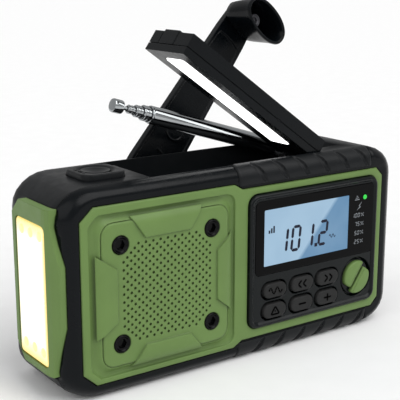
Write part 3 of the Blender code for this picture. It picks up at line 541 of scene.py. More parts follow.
# name: colour, roughness and what differs from a plain moulded finish
FINISHES = {
    "black_plastic": ((0.002, 0.003, 0.004), 0.24, dict(specular=0.14, wear=0.04, bump=0.04)),
    "black_matte": (
        (0.005, 0.006, 0.007), 0.4, dict(bump=0.15, grain=3200.0, specular=0.18, wear=0.15)
    ),
    # green_plastic carries painted shade in its creases and recesses
    "green_plastic": ((0.122, 0.206, 0.054), 0.45, dict(
        bump=0.08, vary=0.05, wear=0.3, wear_colour=(0.24, 0.34, 0.14), round_mm=0.5,
        specular=0.35, painted_crevice_shade=0.85,
    )),
    "bezel_plastic": ((0.002, 0.0035, 0.004), 0.22, dict(bump=0.02, wear=0.1, specular=0.2)),
    "button_plastic": ((0.018, 0.0182, 0.0182), 0.5, dict(bump=0.12, specular=0.15, wear=0.1)),
    "button_print": ((0.0008, 0.0008, 0.0008), 0.8, dict(wear=0.0, specular=0.03)),
    "black_rubber": (
        (0.004, 0.005, 0.006), 0.38, dict(bump=0.1, grain=1800.0, specular=0.2, wear=0.1)
    ),
    "clear_plastic": ((0.001, 0.001, 0.0012), 0.03, dict(
        bump=0.004, vary=0.2, wear=0.05, rough_vary=0.02, specular=0.08
    )),
    "lcd_ink": ((0.006, 0.008, 0.022), 0.4, dict(wear=0.0, specular=0.2)),
    "print_white": ((0.26, 0.28, 0.3), 0.5, dict(wear=0.0, specular=0.1)),
    "screw_steel": ((0.0012, 0.0012, 0.0014), 0.22, dict(
        bump=0.05, specular=0.12, wear=0.12, wear_colour=(0.06, 0.06, 0.06), round_mm=0.15
    )),
    "green_cloth": ((0.07, 0.11, 0.03), 0.9, dict(bump=0.5, wear=0.0, specular=0.1)),
    "steel": (
        (0.45, 0.45, 0.46), 0.32, dict(metallic=1.0, bump=0.08, wear=0.2, wear_colour=(0.7, 0.7, 0.7))
    ),
    "chrome": ((0.4, 0.42, 0.43), 0.1, dict(
        metallic=1.0, bump=0.02, wear=0.15, wear_colour=(0.85, 0.86, 0.88), rough_vary=0.03,
        round_mm=0.08,
    )),
    "dark_steel": ((0.1, 0.1, 0.11), 0.4, dict(metallic=0.8)),
    "switch_body": ((0.03, 0.03, 0.03), 0.55, {}),
    "reflector_coat": ((0.8, 0.8, 0.76), 0.12, dict(metallic=1.0, wear=0.0)),
    "circuit_board": ((0.01, 0.09, 0.03), 0.4, dict(vary=0.3)),
    "speaker_paper": ((0.02, 0.02, 0.02), 0.85, dict(bump=0.6, grain=1400.0)),
    "nylon": ((0.7, 0.69, 0.63), 0.45, {}),
    "battery_wrap": ((0.04, 0.16, 0.4), 0.35, dict(vary=0.15)),
}
ALL_OVER = ((0.0, 0.0, 0.0), (900.0, 900.0, 900.0))     # a glow with no rim


def make_looks():
    looks = {
        name: surface(name, colour, rough, **more)
        for name, (colour, rough, more) in FINISHES.items()
    }
    looks["lcd_glass"] = lcd_look()
    looks["solar_cells"] = solar_look()
    looks["led_green"] = glowing(
        "led_green", (0.02, 0.75, 0.06), (0.005, 0.3, 0.015), 0.8,
        (LED[0], -20.5, LED[1]), (1.4, 2.0, 1.4), base=(0.01, 0.12, 0.02),
    )
    looks["torch_lens_plastic"] = glowing(
        "torch_lens_plastic", (1.0, 1.0, 0.97), (0.8, 0.56, 0.06), 1.15,
        (-77.0, -0.9, 37.0), (20.0, 11.4, 24.6), 0.34,
    )
    looks["torch_bead"] = glowing("torch_bead", (0.95, 0.82, 0.3), (1.0, 0.7, 0.15), 1.0, *ALL_OVER)
    looks["lamp_glow"] = glowing("lamp_glow", (1.0, 1.0, 1.0), (0.85, 0.93, 1.0), 2.4, *ALL_OVER)
    return looks


LOOKS = make_looks()


# ---------------------------------------------------------------- green front

def build_front_panel():
    bm = bmesh.new()
    edge = [
        (PANEL_BACK, panel_outline()), (-19.35, panel_outline()), (-19.7, panel_outline(-0.25)),
        (-19.92, panel_outline(-0.75)), (FRONT_Y, panel_outline(-1.25)),
    ]
    rows = tube(bm, "Y", edge)
    count = 160
    dish = around(dish_outline(), SPEAKER, count)
    plate = around(plate_outline(0.12), SPEAKER, count)
    slope = (
        (0.0, FRONT_Y), (0.04, -19.5), (0.1, -19.2), (0.28, -18.95), (0.48, -18.95),
        (0.64, -19.25), (0.8, -19.9), (0.92, -20.38), (1.0, -20.5),
    )
    rings = [(y, between(dish, plate, share)) for share, y in slope]
    rings.append((PANEL_BACK, plate))
    hollow = tube(bm, "Y", rings)
    hole = tube(bm, "Y", [
        (FRONT_Y, rounded(*grown(BEZEL, 0.4), 4.4)),
        (FRONT_Y + 0.25, rounded(*grown(BEZEL, 0.12), 4.12)),
        (PANEL_BACK, rounded(*grown(BEZEL, 0.12), 4.12)),
    ])
    fill(bm, rows[-1], hollow[0], hole[0])
    fill(bm, rows[0], hollow[-1], hole[-1])
    piece("front_panel_shell", bm, "case", "green_plastic", ("front_panel",), crease=28)


def lattice():
    """Middles of the staggered holes, inside a square with cut corners."""
    spots = []
    for i in range(-13, 14):
        for j in range(-13, 14):
            x = 0.5 * HOLE_PITCH[0] * i
            z = 0.5 * HOLE_PITCH[1] * j
            if (i + j) % 2 == 0 and abs(x) < 17.9 and abs(z) < 17.2 and abs(x) + abs(z) < 29.3:
                spots.append((SPEAKER.x + x, SPEAKER.y + z))
    return spots


def perforated(bm, depth):
    """Diamond tiles with a round hole each; gives back the hole rims and the outer edges."""
    shared = {}
    rims = []
    edges = set()
    for x, z in lattice():
        corners = []
        for a, b in ((1, 0), (0, 1), (-1, 0), (0, -1)):
            where = (x + 0.5 * HOLE_PITCH[0] * a, z + 0.5 * HOLE_PITCH[1] * b)
            key = (round(where[0], 3), round(where[1], 3))
            if key not in shared:
                shared[key] = bm.verts.new(spot("Y", *where, depth))
            corners.append(shared[key])
        rim = [bm.verts.new(spot("Y", a, b, depth)) for a, b in circle(x, z, HOLE_RADIUS, 8)]
        for n in range(4):
            m = (n + 1) % 4
            last = rim[(2 * n + 2) % 8]
            bm.faces.new((corners[n], corners[m], last, rim[2 * n + 1], rim[2 * n]))
            edges ^= {frozenset((corners[n], corners[m]))}
        rims.append(rim)
    return rims, [bm.edges.get(tuple(pair)) for pair in edges]


def build_speaker_plate():
    bm = bmesh.new()
    rows = tube(bm, "Y", [
        (PLATE_BACK, plate_outline()), (-20.62, plate_outline(-0.15)),
        (-20.85, plate_outline(-0.5)), (-20.96, plate_outline(-0.95)), (PLATE_FACE, plate_outline(-1.5)),
    ])
    seats = []
    for x, z in screw_spots():
        seats.append(tube(bm, "Y", [
            (PLATE_FACE, circle(x, z, 3.5)), (-20.85, circle(x, z, 3.3)), (PLATE_BACK, circle(x, z, 3.3))
        ]))
    fronts, front_edges = perforated(bm, PLATE_FACE)
    backs, back_edges = perforated(bm, PLATE_BACK)
    for front, back in zip(fronts, backs):
        for n in range(8):
            m = (n + 1) % 8
            bm.faces.new((front[n], front[m], back[m], back[n]))
    for loops, edges in (
        ([rows[-1]] + [seat[0] for seat in seats], front_edges),
        ([rows[0]] + [seat[-1] for seat in seats], back_edges),
    ):
        rim = list(edges)
        for loop in loops:
            for n, corner in enumerate(loop):
                rim.append(bm.edges.get((corner, loop[(n + 1) % len(loop)])))
        bmesh.ops.triangle_fill(bm, edges=rim, use_beauty=True)
    for along_x, side, near, far in PADS:
        add_pad(bm, along_x, side, near, far)
    piece("speaker_plate", bm, "case", "green_plastic", ("speaker_grille",), crease=28)
    bm = bmesh.new()
    cut = 12.2
    outline = [
        (-18.4, -cut), (-cut, -18.2), (cut, -18.2), (18.4, -cut),
        (18.4, cut), (cut, 18.2), (-cut, 18.2), (-18.4, cut),
    ]
    prism(bm, "Y", [(SPEAKER.x + a, SPEAKER.y + b) for a, b in outline], -19.6, PLATE_BACK + 0.02)
    piece("speaker_cloth", bm, "case", "green_cloth", crease=30)


def add_pad(bm, along_x, side, near, far):
    """A raised tab whose flanks slant and whose outer end runs down over the plate's edge."""
    run = (
        (0.0, -20.9, 9.5), (0.054, -21.65, 9.5), (0.108, -21.8, 9.75), (0.566, -21.8, 12.4),
        (0.71, -21.66, 13.2), (0.83, -21.3, 13.9), (0.93, -20.8, 14.5), (1.0, -20.3, 14.9),
    )
    base = -20.2
    rows = []
    for share, y, half in run:
        out = near + (far - near) * share
        row = []
        for across, depth in ((-half, base), (-half, y + 0.45), (-half + 0.3, y), (half - 0.3, y),
                              (half, y + 0.45), (half, base)):
            a = SPEAKER.x + (side * out if along_x else across)
            b = SPEAKER.y + (across if along_x else side * out)
            row.append(bm.verts.new(spot("Y", a, b, min(depth, base))))
        rows.append(row)
    for low, high in zip(rows, rows[1:]):
        for n in range(5):
            bm.faces.new((low[n], low[n + 1], high[n + 1], high[n]))
        bm.faces.new((low[5], low[0], high[0], high[5]))
    bm.faces.new(rows[0])
    bm.faces.new(rows[-1])


def screw_spots():
    return [
        (SPEAKER.x + side * SCREW_SPAN[0], SPEAKER.y + up * SCREW_SPAN[1])
        for side in (-1, 1) for up in (-1, 1)
    ]


def add_hex_screw(bm, x, z, face, root, radius, outward=-1):
    """A head with a raised ring, a sunk face and a hexagonal socket."""
    steps = 24
    skin(bm, "Y", [
        (root, circle(x, z, radius, steps)), (face - outward * 0.3, circle(x, z, radius, steps)),
        (face, circle(x, z, radius - 0.25, steps)), (face, circle(x, z, radius - 0.5, steps)),
        (face - outward * 0.35, circle(x, z, radius - 0.75, steps)),
        (face - outward * 0.55, circle(x, z, radius - 0.95, steps)),
        (face - outward * 0.6, hexagon(x, z, radius * 0.5, steps)),
        (face - outward * 1.7, hexagon(x, z, radius * 0.48, steps)),
    ])


def build_screws():
    for n, (x, z) in enumerate(screw_spots()):
        bm = bmesh.new()
        add_hex_screw(bm, x, z, -21.35, -18.6, 3.15)
        piece(f"plate_screw_{n + 1}", bm, "case", "screw_steel", (f"panel_screw_{n + 1}",))
    for n, (x, z) in enumerate(CASE_SCREWS):
        bm = bmesh.new()
        add_hex_screw(bm, x, z, 19.6, 18.3, 2.6, 1)
        piece(f"case_screw_{n + 1}", bm, "case", "screw_steel")
    bm = bmesh.new()
    add_hex_screw(bm, *DOOR_SCREW, 19.8, 18.7, 2.4, 1)
    piece("door_screw", bm, "case", "screw_steel")


# ---------------------------------------------------------------- rubber grips

def build_grips():
    """Strips over the rounded front edge with slanting oval grooves."""
    columns = 360
    steps = 26
    fade = 0.9
    for name, side in (("grip_top", 1), ("grip_bottom", -1)):
        proud = 0.55 if side > 0 else 0.3
        lid = BODY_MIDDLE + (0.55 if side > 0 else -0.05)
        bm = bmesh.new()
        outer = []
        inner = []
        for i in range(columns + 1):
            x = GRIP_START + (GRIP_END - GRIP_START) * i / columns
            ends = min(1.0, (x - GRIP_START) / fade, (GRIP_END - x) / fade)
            ring_out = []
            ring_in = []
            for j in range(steps + 1):
                share = j / steps
                lift = proud - groove_depth(x, share) - 0.5 * (1 - ends) ** 2
                y, crest = edge_spot(share, lift)
                ring_out.append(bm.verts.new((x, y, BODY_MIDDLE + side * min(crest, lid))))
                y, crest = edge_spot(share, -1.05 if share < 0.6 else -0.3)
                ring_in.append(bm.verts.new((x, y, BODY_MIDDLE + side * crest)))
            outer.append(ring_out)
            inner.append(ring_in)
        for grid in (outer, inner):
            for low, high in zip(grid, grid[1:]):
                for j in range(steps):
                    bm.faces.new((low[j], low[j + 1], high[j + 1], high[j]))
        for i in range(columns):
            for j in (0, steps):
                bm.faces.new((outer[i][j], outer[i + 1][j], inner[i + 1][j], inner[i][j]))
        for i in (0, columns):
            for j in range(steps):
                bm.faces.new((outer[i][j], outer[i][j + 1], inner[i][j + 1], inner[i][j]))
        piece(name + "_strip", bm, "case", "black_rubber", (name,), crease=60)


def edge_spot(share, lift):
    """Depth and height above the middle, on the way over the front edge and down the front."""
    if share < EDGE_SHARE:
        angle = radians(6 + 84 * share / EDGE_SHARE)
        return (
            EDGE_Y - (EDGE_RADII[0] + lift) * sin(angle),
            EDGE_HEIGHT + (EDGE_RADII[1] + lift) * cos(angle),
        )
    return EDGE_FRONT - lift, EDGE_HEIGHT - 1.3 * (share - EDGE_SHARE) / (1 - EDGE_SHARE)


def groove_depth(x, share):
    """Depth of the nearest groove at a place along the strip and around its edge."""
    deepest = 0.0
    full = 0.85 - 0.35 * min(1.0, max(0.0, (share - 0.45) / 0.35))
    for n in range(6):
        middle = GROOVE_START + GROOVE_PITCH * n + GROOVE_SLANT * (share - 0.5)
        across = (x - middle) / 1.35
        along = (share - 0.53) / 0.45
        inside = 1.0 - across * across - along * along
        if inside > 0:
            deepest = max(deepest, full * min(1.0, 6.0 * inside))
    return deepest


# ---------------------------------------------------------------- controls and display

def build_bezel():
    """Frame with a thick rounded rim, a flat face, and sunk seats for the keys and the knob."""
    bm = bmesh.new()
    rim = (
        (0.0, PANEL_BACK), (0.0, -20.3), (0.12, -20.8), (0.4, -21.2), (0.8, -21.42), (1.15, -21.42),
        (1.5, -21.2), (1.85, -20.85), (2.15, FACE_Y),
    )
    rows = tube(bm, "Y", [
        (y, rounded(*grown(BEZEL, -inset), 4.0 - 0.7 * inset, 8)) for inset, y in rim
    ])
    seats = [tube(bm, "Y", [
        (FACE_Y, rounded(*grown(WINDOW, 0.12), 2.2)), (PANEL_BACK, rounded(*grown(WINDOW, 0.12), 2.2))
    ])]
    for x in BUTTON_X:
        for z in BUTTON_Z:
            seats.append(tube(bm, "Y", [
                (FACE_Y, pill(x, z, 0.95)), (-20.3, pill(x, z, 0.6)), (PANEL_BACK, pill(x, z, 0.3))
            ]))
    seats.append(tube(bm, "Y", [
        (FACE_Y, circle(*KNOB, 8.3)), (-20.4, circle(*KNOB, 8.05)), (-18.6, circle(*KNOB, 7.7)),
        (-18.6, circle(*KNOB, 3.0)), (PANEL_BACK, circle(*KNOB, 3.0)),
    ]))
    fill(bm, rows[-1], *[seat[0] for seat in seats])
    fill(bm, rows[0], *[seat[-1] for seat in seats])
    piece("control_frame", bm, "case", "bezel_plastic", ("control_bezel",), crease=30)


def build_window():
    """Gloss black window with an opening for the display."""
    bm = bmesh.new()
    rows = tube(bm, "Y", [
        (-19.3, rounded(*WINDOW, 2.1)), (-20.62, rounded(*WINDOW, 2.1)),
        (-20.74, rounded(*grown(WINDOW, -0.14), 2.0)),
    ])
    opening = rounded(*LCD, 0.4, 2)
    hole = tube(bm, "Y", [(-20.74, opening), (-19.3, opening)])
    fill(bm, rows[-1], hole[0])
    fill(bm, rows[0], hole[-1])
    piece("window_pane", bm, "case", "clear_plastic", ("display_window",), crease=30)

    bm = bmesh.new()
    prism(bm, "Y", rectangle(*grown(LCD, -0.03)), -16.9, -20.7, 0.05)
    piece("lcd_face", bm, "case", "lcd_glass", ("lcd_panel",), crease=30)

    bm = bmesh.new()
    turn(bm, "Y", *LED, [
        (0, -21.2), (0.55, -21.1), (0.9, -20.9), (1.0, -20.6), (1.0, -16.7), (0, -16.7)
    ])
    piece("charge_light", bm, "case", "led_green", ("charge_led",))


def add_bar(bm, start, end, width, low, high):
    """A stroke with pointed ends, pushed along Y."""
    start = Vector(start)
    end = Vector(end)
    along = (end - start).normalized()
    across = Vector((-along.y, along.x)) * 0.5 * width
    tip = along * 0.5 * width
    outline = [
        start, start + tip + across, end - tip + across, end, end - tip - across, start + tip - across,
    ]
    prism(bm, "Y", [tuple(point) for point in outline], low, high)


def add_digit(bm, x, z, digit, height, width, stroke, low, high, lean=0.14):
    """A slanting seven-segment digit whose lower middle is at x, z."""
    half = 0.5 * width
    corners = {
        "a": ((-half, height), (half, height)), "g": ((-half, height / 2), (half, height / 2)),
        "d": ((-half, 0), (half, 0)), "f": ((-half, height / 2), (-half, height)),
        "b": ((half, height / 2), (half, height)), "e": ((-half, 0), (-half, height / 2)),
        "c": ((half, 0), (half, height / 2)),
    }
    lit = {
        "0": "abcdef", "1": "bc", "2": "abged", "5": "afgcd", "7": "abc",
    }[digit]
    for segment in lit:
        (a0, b0), (a1, b1) = corners[segment]
        first = Vector((x + a0 + lean * b0, z + b0))
        last = Vector((x + a1 + lean * b1, z + b1))
        gap = (last - first).normalized() * 0.12 * stroke
        add_bar(bm, first + gap, last - gap, stroke, low, high)


def build_readout():
    """Frequency digits on the display and the charge column beside it."""
    bm = bmesh.new()
    for x, digit in ((16.0, "1"), (22.2, "0"), (28.7, "1"), (35.9, "2")):
        add_digit(bm, x, 39.0, digit, 9.0, 3.6, 1.15, *INK, 0.1)
    prism(bm, "Y", rectangle(32.1, 33.5, 38.5, 39.9), *INK)
    for n, tall in enumerate((1.2, 1.9, 2.6)):
        prism(bm, "Y", rectangle(9.3 + 1.1 * n, 10.0 + 1.1 * n, 47.3, 47.3 + tall), *INK)
    wave = [(39.6 + 0.2 * n, 41.5 + 0.75 * sin(2 * pi * n / 8)) for n in range(17)]
    for first, last in zip(wave, wave[1:]):
        add_bar(bm, first, last, 0.34, *INK)
    piece("lcd_digits", bm, "case", "lcd_ink", crease=30)

    bm = bmesh.new()
    for z, label in ((46.9, "100"), (43.3, "75"), (39.7, "50"), (36.1, "25")):
        x = 56.4 - 1.45 * len(label)
        for n, digit in enumerate(label):
            add_digit(bm, x + 1.45 * n, z, digit, 1.55, 0.85, 0.26, *PRINT)
        for a, b in ((56.4, z + 1.25), (57.5, z + 0.3)):
            prism(bm, "Y", circle(a, b, 0.26, 8), *PRINT)
        add_bar(bm, (56.3, z), (57.7, z + 1.55), 0.22, *PRINT)
    prism(bm, "Y", [
        (56.6, 53.0), (54.8, 51.4), (55.4, 51.1), (53.8, 49.7), (56.0, 50.9), (55.3, 51.3),
    ], *PRINT)
    for n, wide in enumerate((2.6, 1.7, 0.8)):
        z = 54.0 + 0.7 * n
        add_bar(bm, (53.9 - 0.5 * wide, z), (53.9 + 0.5 * wide, z), 0.3, *PRINT)
    piece("charge_scale", bm, "case", "print_white", crease=30)


def button_marks(bm, n, x, z):
    """A plain sign for what each key does: band, down, up, alarm, quieter, louder."""
    low, high = -21.3, -21.62
    if n == 0:
        wave = [(x - 3.2 + 0.4 * k, z + 1.3 * sin(2 * pi * k / 8)) for k in range(17)]
        for first, last in zip(wave, wave[1:]):
            add_bar(bm, first, last, 0.6, low, high)
    if n in (1, 2):
        way = -1 if n == 1 else 1
        for shift in (-1.2, 1.2):
            tip = x + shift + way * 1.0
            add_bar(bm, (tip - way * 1.6, z + 1.5), (tip, z), 0.6, low, high)
            add_bar(bm, (tip - way * 1.6, z - 1.5), (tip, z), 0.6, low, high)
    if n == 3:
        add_bar(bm, (x - 2.0, z - 1.4), (x + 2.0, z - 1.4), 0.6, low, high)
        add_bar(bm, (x - 2.0, z - 1.4), (x, z + 1.7), 0.6, low, high)
        add_bar(bm, (x + 2.0, z - 1.4), (x, z + 1.7), 0.6, low, high)
        prism(bm, "Y", circle(x, z - 0.2, 0.3, 8), low, high)
    if n in (4, 5):
        add_bar(bm, (x - 1.9, z), (x + 1.9, z), 0.65, low, high)
    if n == 5:
        add_bar(bm, (x, z - 1.6), (x, z + 1.6), 0.65, low, high)


def build_buttons():
    spots = [(x, z) for z in BUTTON_Z for x in BUTTON_X]
    for n, (x, z) in enumerate(spots):
        bm = bmesh.new()
        skin(bm, "Y", [
            (-17.3, pill(x, z)), (-21.0, pill(x, z)), (-21.3, pill(x, z, -0.12)),
            (-21.48, pill(x, z, -0.35)), (-21.55, pill(x, z, -0.7)), (-21.5, pill(x, z, -1.4)),
        ])
        piece(f"key_{n + 1}_cap", bm, f"key_{n + 1}", "button_plastic", (f"button_{n + 1}",), crease=60)
        bm = bmesh.new()
        button_marks(bm, n, x, z)
        piece(f"key_{n + 1}_mark", bm, f"key_{n + 1}", "button_print", crease=30)


def build_knob():
    """Two low lobes on a dark disc, either side of a slanting groove."""
    bm = bmesh.new()
    turn(bm, "Y", KNOB.x, KNOB.y, [
        (0, -19.9), (7.0, -19.9), (7.3, -19.6), (7.3, -18.9), (2.6, -18.9), (2.6, -17.4), (0, -17.4)
    ], 40)
    piece("knob_base", bm, "selector", "bezel_plastic", ("mode_knob",))
    along = Vector((cos(KNOB_GROOVE), sin(KNOB_GROOVE)))
    across = Vector((-along.y, along.x))
    radius = KNOB_RADIUS - 0.45
    bm = bmesh.new()
    for side in (-1, 1):
        # the outer arc runs full to one end of the groove and stops short of the other
        arc = [side * radians(-50 + 132 * n / 28) for n in range(29)]
        flat = [(radius * sin(a), side * radius * cos(a)) for a in arc]
        short_end = flat[0][0]
        outline = [(short_end, side * 0.45)] + flat + [(radius * 0.97 * side, side * 0.45)]
        smooth = soften_outline(outline, 1.6)
        rings = [
            (y, [tuple(KNOB + along * s + across * t) for s, t in shrink_outline(smooth, inset)])
            for inset, y in (
                (0.0, -19.8), (0.0, KNOB_FACE + 0.75), (0.12, KNOB_FACE + 0.35),
                (0.4, KNOB_FACE + 0.1), (0.9, KNOB_FACE),
            )
        ]
        skin(bm, "Y", rings)
    piece("knob_lobes", bm, "selector", "green_plastic", crease=45)


def resampled(outline, count):
    """The same closed outline with evenly spaced points."""
    points = [Vector(point) for point in outline]
    lengths = [(points[(n + 1) % len(points)] - point).length for n, point in enumerate(points)]
    step = sum(lengths) / count
    made = []
    n = 0
    passed = 0.0
    for k in range(count):
        goal = k * step
        while passed + lengths[n] < goal and n < len(points) - 1:
            passed += lengths[n]
            n += 1
        share = (goal - passed) / lengths[n] if lengths[n] else 0.0
        made.append(points[n].lerp(points[(n + 1) % len(points)], min(share, 1.0)))
    return made


def soften_outline(outline, radius):
    """Round an outline's corners by averaging it over a short length."""
    points = resampled(outline, 96)
    for _ in range(int(6 * radius)):
        points = [
            (points[n - 1] + points[n] * 2 + points[(n + 1) % len(points)]) / 4
            for n in range(len(points))
        ]
    return [tuple(point) for point in points]


def shrink_outline(outline, inset):
    """Move every point of a smooth outline inwards by the inset."""
    points = [Vector(point) for point in outline]
    area = sum(
        point.cross(points[(n + 1) % len(points)]) for n, point in enumerate(points)
    )
    way = 1 if area > 0 else -1
    made = []
    for n, point in enumerate(points):
        ahead = points[(n + 1) % len(points)] - points[n - 1]
        normal = Vector((-ahead.y, ahead.x)).normalized() * way
        made.append(tuple(point + normal * inset))
    return made


# ---------------------------------------------------------------- torch end and SOS pad

def build_torch():
    refined("torch_bezel", "green_plastic", 32, 0.5, 3, False)
    bm = bmesh.new()
    skin(bm, "X", [
        (x, rounded(*grown(TORCH_LENS, -inset), radius)) for inset, x, radius in (
            (0.0, -76.1, 1.8), (0.0, -77.3, 1.8), (0.3, -77.55, 1.5), (1.0, -77.6, 1.0),
            (1.4, -77.35, 0.7),
        )
    ])
    piece("torch_window", bm, "case", "torch_lens_plastic", ("torch_lens",), crease=40)
    bm = bmesh.new()
    for z in (17.0, 57.5):
        for y in (-8.5, -1.9, 4.7):
            bead = [(0, -77.75), (1.1, -77.7), (1.7, -77.45), (1.9, -77.0), (0, -77.0)]
            turn(bm, "X", y, z, bead, 20)
    piece("torch_beads", bm, "case", "torch_bead", crease=50)


def pad_outline(grow=0.0):
    return rounded(*grown(SOS_PAD, grow), 4.2 + grow)


def build_sos():
    """Rubber pad with a wide shallow dish and a push button in its middle."""
    bm = bmesh.new()
    count = 96
    rings = []
    for grow, z in ((0.0, 73.1), (0.0, 75.1), (-0.15, 75.45), (-0.5, 75.6), (-1.3, 75.58)):
        rings.append((z, around(pad_outline(grow), SOS, count)))
    for half, z in ((6.9, 75.5), (6.4, 75.1), (5.9, 74.8), (5.65, 74.6), (5.65, 73.1)):
        rings.append((z, around(circle(*SOS, half, 64), SOS, count)))
    rows = tube(bm, "Z", rings)
    for n in range(count):
        m = (n + 1) % count
        bm.faces.new((rows[0][n], rows[0][m], rows[-1][m], rows[-1][n]))
    for n in range(3):
        prism(bm, "Z", circle(-57.7, -3.6 + 3.0 * n, 0.55, 12), 75.3, 75.72)
    piece("sos_pad", bm, "case", "black_rubber", ("sos_base",), crease=40)
    bm = bmesh.new()
    turn(bm, "Z", *SOS, [
        (0, 74.55), (2.2, 74.7), (3.6, 75.1), (4.6, 75.45), (5.1, 75.4), (5.3, 75.1), (5.3, 74.0),
        (2.5, 74.0), (2.5, 69.2), (0, 69.2),
    ], 48)
    piece("sos_key", bm, "sos", "black_rubber", ("sos_button",), crease=50)


# ---------------------------------------------------------------- lamp bar

def build_lamp():
    refined("lamp_cover", "black_plastic", 35, 0.45, 3)
    refined("lamp_frame", "black_plastic", 35, 0.35, 3)
    refined("lamp_latch", "black_plastic", 35, 0.3, 2)
    bm = bmesh.new()
    strip = (-78.8, -18.2, -7.8, 3.4)
    skin(bm, "Z", [
        (z, rounded(*grown(strip, -inset), radius)) for inset, z, radius in (
            (0.0, -2.2, 1.3), (0.0, -4.5, 1.3), (0.3, -4.75, 1.1), (1.2, -4.85, 0.6),
        )
    ])
    piece("lamp_strip", bm, "lamp", "lamp_glow", ("lamp_diffuser",), LAMP, crease=50)
    bm = bmesh.new()
    bar = (-83.9, -8.4, -14.0, 10.2)
    wide = rectangle(*grown(bar, -0.5))
    slim = rectangle(*grown(bar, -1.2))
    low, high = -1.72, -1.38
    tube(bm, "Z", [(low, wide), (high, wide), (high, slim), (low, slim), (low, wide)])
    piece("lamp_gasket", bm, "lamp", "black_rubber", (), LAMP, crease=30)
    bm = bmesh.new()
    skin(bm, "Z", [
        (2.7, rounded(-77.9, -14.1, -11.4, 7.6, 0.6)), (3.3, rounded(-77.9, -14.1, -11.4, 7.6, 0.6)),
        (3.42, rounded(-77.7, -14.3, -11.2, 7.4, 0.5)),
    ])
    piece("solar_sheet", bm, "lamp", "solar_cells", ("solar_panel",), LAMP, crease=30)


# ---------------------------------------------------------------- antenna

def build_antenna():
    bm = bmesh.new()
    turn(bm, "X", 0, 0, [
        (3.25, -5.6), (3.4, -5.9), (3.4, -70.2), (3.3, -70.5), (3.3, -70.8), (3.4, -71.1), (3.25, -71.5),
        (2.95, -71.6), (2.95, -9.0), (0, -9.0), (0, -5.6),
    ], 48)
    knuckle = [(-8, -2.2), (1.4, -2.2), (2.4, -1), (2.4, 1), (1.4, 2.2), (-8, 2.2)]
    prism(bm, "Y", knuckle, -1.2, 1.2)
    piece("antenna_barrel", bm, "antenna", "chrome", ("antenna_tube",), ANTENNA, crease=30)
    for n in range(3):
        outer = 2.7 - 0.65 * n
        inner = outer - 0.4
        end = -74.8 - 3.2 * n
        start = -10.5 - 1.5 * n
        profile = [(inner, start), (outer, start)]
        for step in range(2):
            ring = end + 2.3 - 1.3 * step
            profile += [
                (outer, ring), (outer + 0.25, ring - 0.12), (outer + 0.25, ring - 0.5),
                (outer, ring - 0.62),
            ]
        profile += [(outer - 0.12, end), (inner, end)]
        bm = bmesh.new()
        turn(bm, "X", 0, 0, profile, 40)
        piece(f"antenna_rod_{n + 1}", bm, f"section_{n + 1}", "chrome", (f"antenna_section_{n + 1}",),
              ANTENNA, crease=30)
    bm = bmesh.new()
    turn(bm, "X", 0, 0, [
        (0, -87.65), (2.1, -87.7), (2.45, -87.55), (2.6, -87.2), (2.6, -84.1), (2.45, -83.7), (2.1, -83.5),
        (0.95, -83.3), (0.75, -83.0), (0.75, -16.0), (0, -16.0),
    ], 40)
    piece("antenna_end_cap", bm, "antenna_end", "chrome", ("antenna_tip",), ANTENNA, crease=30)
    refined("antenna_bracket", "steel", 30, 0.25)


# ---------------------------------------------------------------- crank

